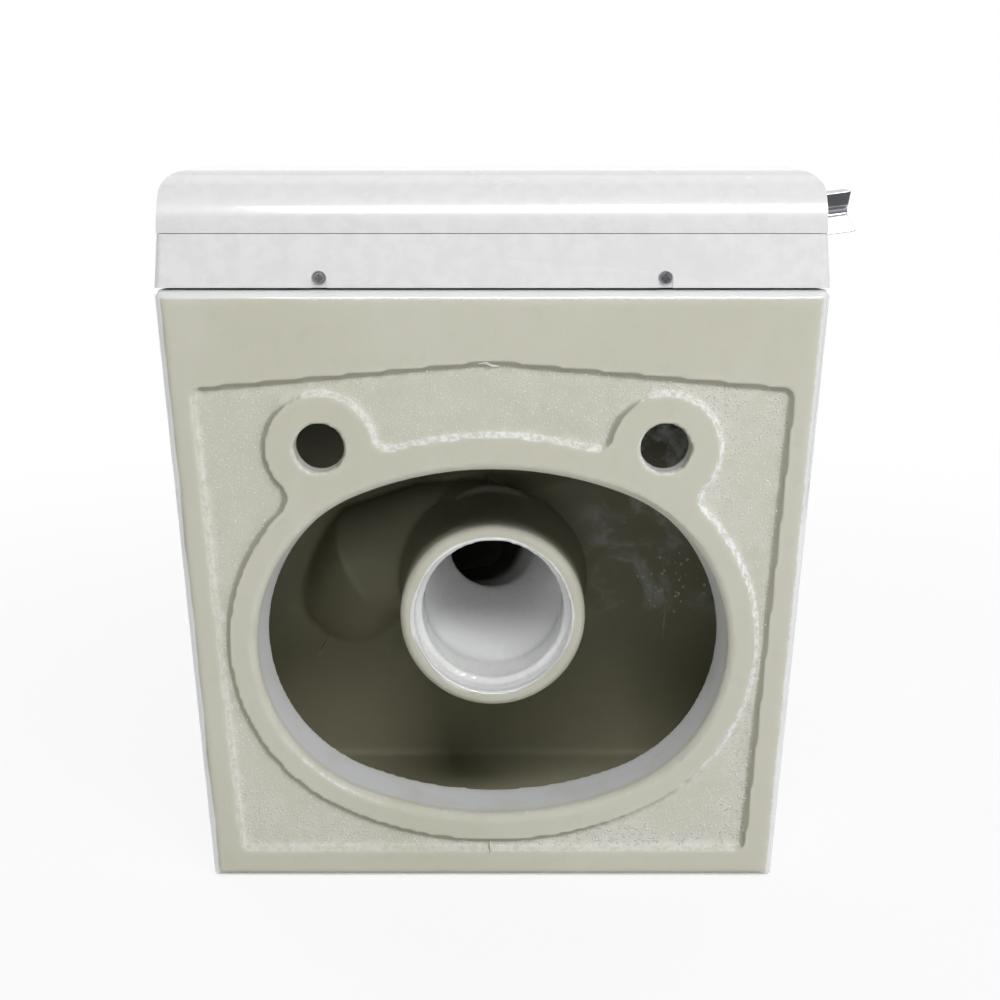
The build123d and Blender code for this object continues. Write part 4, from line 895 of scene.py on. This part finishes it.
def addGrit():
    look = gritLook
    shape = bmesh.new()
    count = 0
    for _ in range(look["grains"] * look["triesEach"]):
        x = random.uniform(-look["halfWidth"], look["halfWidth"])
        z = random.uniform(look["low"], look["high"])
        place, normal, _, _ = chinaSurface.ray_cast(Vector((x, look["start"], z)), Vector((0, -1, 0)))
        if not onPanel(place) or not keepGrain(place):
            continue
        addGrain(shape, place - normal * look["sunk"], normal, random.uniform(*look["size"]))
        count += 1
        if count >= look["grains"]:
            break
    addPiece("panelGrit", meshFrom(shape, "panelGrit"), "glassGrit", "bowl")
    return count


# middle and spread are pixels of the photograph
spotLook = {
    "spots": 45, "size": (0.0003, 0.0012), "shrink": (0.5, 1.0), "middle": (668, 585), "spread": (17, 24),
    "facets": 2, "lump": 0.35, "lumpScale": 900.0, "lumpShift": 50.0, "flat": 0.35,
}


def addGlazeSpots():
    look = spotLook
    shape = bmesh.new()
    for _ in range(look["spots"]):
        across = random.gauss(look["middle"][0], look["spread"][0])
        place, normal = onChina(across, random.gauss(look["middle"][1], look["spread"][1]))
        size = random.uniform(*look["size"]) * random.uniform(*look["shrink"])
        ball = bmesh.ops.create_icosphere(shape, subdivisions=look["facets"], radius=size)
        turn = normal.to_track_quat("Z", "Y").to_matrix()
        for vert in ball["verts"]:
            local = vert.co.copy()
            local *= 1.0 + look["lump"] * noise.noise(local * look["lumpScale"] + place * look["lumpShift"])
            local.z *= look["flat"]
            vert.co = place + turn @ local
    for face in shape.faces:
        face.smooth = True
    addPiece("glazeSpots", meshFrom(shape, "glazeSpots"), "glassGrit", "bowl")


print("panel grit:", addGrit(), "grains")
addGlazeSpots()

# The lever knob: a bow tie block with a narrow waist. A share runs from its foot, -1, to its top, 1

leverKnob = {
    "axis": (-0.070, 0.1165),
    "inner": 0.1762,
    "reach": {1.0: 0.1921, 0.25: 0.1906, -0.15: 0.1909, -1.0: 0.1948},
    "half": {1.0: 0.0094, 0.30: 0.0097, 0.16: 0.0070, -0.06: 0.0068, -0.20: 0.0080, -1.0: 0.0117},
    "halfHeight": 0.0110,
    "skew": 0.13,
    "rows": 36,
    "columns": 6,
    "sharp": 30.0,
    "edge": 0.0006,
    "edgeFacets": 3,
    "edgeAngle": 40.0,
}


def along(marks, share):
    steps = sorted(marks.items())
    for (low, first), (high, second) in zip(steps, steps[1:]):
        if share <= high:
            return first + (second - first) * (share - low) / (high - low)
    return steps[-1][1]


def knobCorners():
    look = leverKnob
    corners = {}
    for side in (-1, 1):
        for row in range(look["rows"] + 1):
            share = 2 * row / look["rows"] - 1
            half = along(look["half"], share)
            for column in range(look["columns"] + 1):
                out = (along(look["reach"], share) - look["inner"]) * column / look["columns"]
                height = look["axis"][1] + share * look["halfHeight"] + out * look["skew"]
                corners[side, row, column] = (-look["inner"] - out, look["axis"][0] + side * half, height)
    return corners


def knobFaces():
    rows, columns = leverKnob["rows"], leverKnob["columns"]
    for row in range(rows):
        for column in range(columns):
            for side in (-1, 1):
                yield [(side, row, column), (side, row + 1, column),
                       (side, row + 1, column + 1), (side, row, column + 1)]
        for column in (0, columns):
            yield [(-1, row, column), (1, row, column), (1, row + 1, column), (-1, row + 1, column)]
    for column in range(columns):
        for row in (0, rows):
            yield [(-1, row, column), (1, row, column), (1, row, column + 1), (-1, row, column + 1)]


def addLeverKnob():
    look = leverKnob
    shape = bmesh.new()
    verts = {key: shape.verts.new(corner) for key, corner in knobCorners().items()}
    for ring in knobFaces():
        shape.faces.new([verts[key] for key in ring])
    bmesh.ops.recalc_face_normals(shape, faces=shape.faces)
    for face in shape.faces:
        face.smooth = True
    for edge in shape.edges:
        edge.smooth = edge.calc_face_angle(0) < math.radians(look["sharp"])
    knob = addPiece("leverKnob", meshFrom(shape, "leverKnob"), "knobChrome", "knob")
    bevel = knob.modifiers.new("roundEdges", "BEVEL")
    bevel.width = look["edge"]
    bevel.segments = look["edgeFacets"]
    bevel.limit_method = "ANGLE"
    bevel.angle_limit = math.radians(look["edgeAngle"])
    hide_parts("knob_handle")


addLeverKnob()

# Rounded edges on the small bright pieces

edgeRounds = {"housing_screws": 0.0002, "knob_escutcheon": 0.0002}
edgeHabit = {"flat": 1.0, "facets": 2, "sharp": 32.0}


def roundEdges():
    for name, wide in edgeRounds.items():
        piece = nodes[name]
        flat = piece.modifiers.new("joinFlats", "DECIMATE")
        flat.decimate_type = "DISSOLVE"
        flat.angle_limit = math.radians(edgeHabit["flat"])
        bevel = piece.modifiers.new("roundEdges", "BEVEL")
        bevel.width = wide
        bevel.segments = edgeHabit["facets"]
        bevel.limit_method = "ANGLE"
        bevel.angle_limit = math.radians(edgeHabit["sharp"])
        bevel.harden_normals = True


roundEdges()

# Threads, which the solids leave plain

threads = {
    "inletThread": dict(
        finish="turnedBrass", slot="brass", start=(0.1520, -0.070, 0.098), along=(1, 0, 0), length=0.0165,
        radius=0.0083, pitch=0.0018, deep=0.0006, facets=28, fadeSteps=14, flank=0.42, crest=0.2, sunk=0.0001,
    ),
}


def addThread(name, thread):
    axis = Vector(thread["along"])
    side = axis.orthogonal().normalized()
    up = axis.cross(side)
    facets, fadeSteps = thread["facets"], thread["fadeSteps"]
    steps = int(thread["length"] / thread["pitch"] * facets)
    foot = axis * (thread["pitch"] * thread["flank"])
    top = foot * thread["crest"]
    shape = bmesh.new()
    rings = []
    for step in range(steps + 1):
        angle = step / facets * math.tau
        fade = min(1.0, step / fadeSteps, (steps - step) / fadeSteps)
        out = side * math.cos(angle) + up * math.sin(angle)
        middle = Vector(thread["start"]) + axis * (thread["pitch"] * step / facets)
        root = middle + out * (thread["radius"] - thread["sunk"])
        crest = middle + out * (thread["radius"] + thread["deep"] * fade)
        rings.append([shape.verts.new(spot) for spot in (root - foot, crest - top, crest + top, root + foot)])
    for first, second in zip(rings, rings[1:]):
        for a, b in ((0, 1), (1, 2), (2, 3)):
            shape.faces.new((first[a], first[b], second[b], second[a]))
    addPiece(name, meshFrom(shape, name), thread["finish"], "bowl")


for name, thread in threads.items():
    addThread(name, thread)
print("threads:", len(threads))

# Floor and light

floorLook = {
    "level": -0.2384, "size": 30.0, "cells": 8, "color": (0.90, 0.90, 0.90), "pale": (0.92, 0.92, 0.92),
    "speckleNoise": (3.0, 4.0), "rough": (0.3, 0.7, 0.85, 0.95), "specular": 0.1, "near": 0.35, "far": 1.5,
    "lift": 0.86,
}


def showsToCamera(tree):
    rays = addNode(tree, "ShaderNodeLightPath")
    seen = maths(tree, "MAXIMUM", rays.outputs["Is Camera Ray"], rays.outputs["Is Glossy Ray"])
    return maths(tree, "MAXIMUM", seen, rays.outputs["Is Transmission Ray"])


def floorMaterial():
    look = floorLook
    material, tree, shader, coords = startMaterial("studioFloorWhite")
    speckle = noiseOf(tree, coords, *look["speckleNoise"])
    link(tree, mixColor(tree, speckle, look["color"], look["pale"]), shader.inputs["Base Color"])
    link(tree, ramp(tree, speckle, *look["rough"]), shader.inputs["Roughness"])
    shader.inputs["Specular IOR Level"].default_value = look["specular"]
    white = addNode(tree, "ShaderNodeEmission")
    white.inputs["Strength"].default_value = 1.0
    # plain white to the camera, more so away from the bowl, and the shadow stays under it
    distance = addNode(tree, "ShaderNodeVectorMath", operation="LENGTH")
    link(tree, coords, distance.inputs[0])
    lift = ramp(tree, distance.outputs["Value"], look["near"], look["far"], look["lift"], 1.0)
    mixed = addNode(tree, "ShaderNodeMixShader")
    link(tree, maths(tree, "MULTIPLY", showsToCamera(tree), lift), mixed.inputs[0])
    link(tree, shader.outputs[0], mixed.inputs[1])
    link(tree, white.outputs[0], mixed.inputs[2])
    link(tree, mixed.outputs[0], tree.nodes["Material Output"].inputs["Surface"])
    return material


def setFloor():
    shape = bmesh.new()
    cells = floorLook["cells"]
    bmesh.ops.create_grid(shape, x_segments=cells, y_segments=cells, size=floorLook["size"] / 2)
    mesh = meshFrom(shape, "studioFloor")
    mesh.materials.append(floorMaterial())
    floor = bpy.data.objects.new("studioFloor", mesh)
    floor.location.z = floorLook["level"]
    bpy.context.scene.collection.objects.link(floor)


lamps = {
    "keyAbove": dict(place=(-0.34, 1.50, 1.55), aim=(0, -0.05, -0.05), size=(1.5, 0.5), power=28.5),
    "frontFill": dict(place=(-0.6, 2.5, 0.30), aim=(0, -0.1, -0.06), size=(1.6, 1.0), power=3.0),
    "fillLeft": dict(place=(1.9, 1.1, 0.55), aim=(0, -0.1, -0.05), size=(1.0, 1.4), power=0.8),
    "fillRight": dict(place=(-1.9, 0.9, 0.35), aim=(0, -0.1, -0.05), size=(1.0, 1.2), power=7.5),
    "topRear": dict(place=(0.0, -0.9, 1.8), aim=(0, -0.25, 0.05), size=(1.6, 1.0), power=3.0),
    "roomLeft": dict(place=(1.7, -1.9, 0.8), aim=(0, -0.3, -0.05), size=(1.4, 1.2), power=20.0),
    "roomRight": dict(place=(-1.5, -2.0, 0.7), aim=(0, -0.3, -0.05), size=(1.4, 1.2), power=13.0),
}
ambient = {"color": (1.0, 1.0, 1.0), "light": 0.17}


def setLamps():
    for name, lamp in lamps.items():
        data = bpy.data.lights.new(name, "AREA")
        data.shape = "RECTANGLE"
        data.size, data.size_y = lamp["size"]
        data.energy = lamp["power"]
        light = bpy.data.objects.new(name, data)
        light.location = lamp["place"]
        direction = Vector(lamp["aim"]) - Vector(lamp["place"])
        light.rotation_euler = direction.to_track_quat("-Z", "Y").to_euler()
        bpy.context.scene.collection.objects.link(light)


# Cards that only reflections show
darkCards = {
    "darkCardSide": [(-0.75, -0.35, -0.2), (-0.75, 0.55, -0.2), (-0.75, 0.55, 0.50), (-0.75, -0.35, 0.50)],
    "darkCardFront": [(-1.7, 1.35, -0.23), (1.7, 1.35, -0.23), (1.7, 1.35, 0.95), (-1.7, 1.35, 0.95)],
}
cardLook = {"color": (0.16, 0.16, 0.165), "pale": (0.24, 0.24, 0.245), "cloud": 2.0, "rough": 0.9}


def setDarkCards():
    material, tree, shader, coords = startMaterial("cardGrey")
    cloud = noiseOf(tree, coords, cardLook["cloud"])
    link(tree, mixColor(tree, cloud, cardLook["color"], cardLook["pale"]), shader.inputs["Base Color"])
    shader.inputs["Roughness"].default_value = cardLook["rough"]
    for name, corners in darkCards.items():
        mesh = bpy.data.meshes.new(name)
        mesh.from_pydata(corners, [], [(0, 1, 2, 3)])
        mesh.materials.append(material)
        sheet = bpy.data.objects.new(name, mesh)
        bpy.context.scene.collection.objects.link(sheet)
        sheet.visible_camera = sheet.visible_diffuse = sheet.visible_shadow = False


def setWorld():
    world = bpy.data.worlds.new("studioWorld")
    world.use_nodes = True
    tree = world.node_tree
    back = tree.nodes["Background"]
    back.inputs["Color"].default_value = (*ambient["color"], 1.0)
    link(tree, mixValue(tree, showsToCamera(tree), ambient["light"], 1.0), back.inputs["Strength"])
    bpy.context.scene.world = world


setFloor()
setLamps()
setDarkCards()
setWorld()
bpy.context.scene.view_settings.view_transform = "Standard"
print("floor and light set")
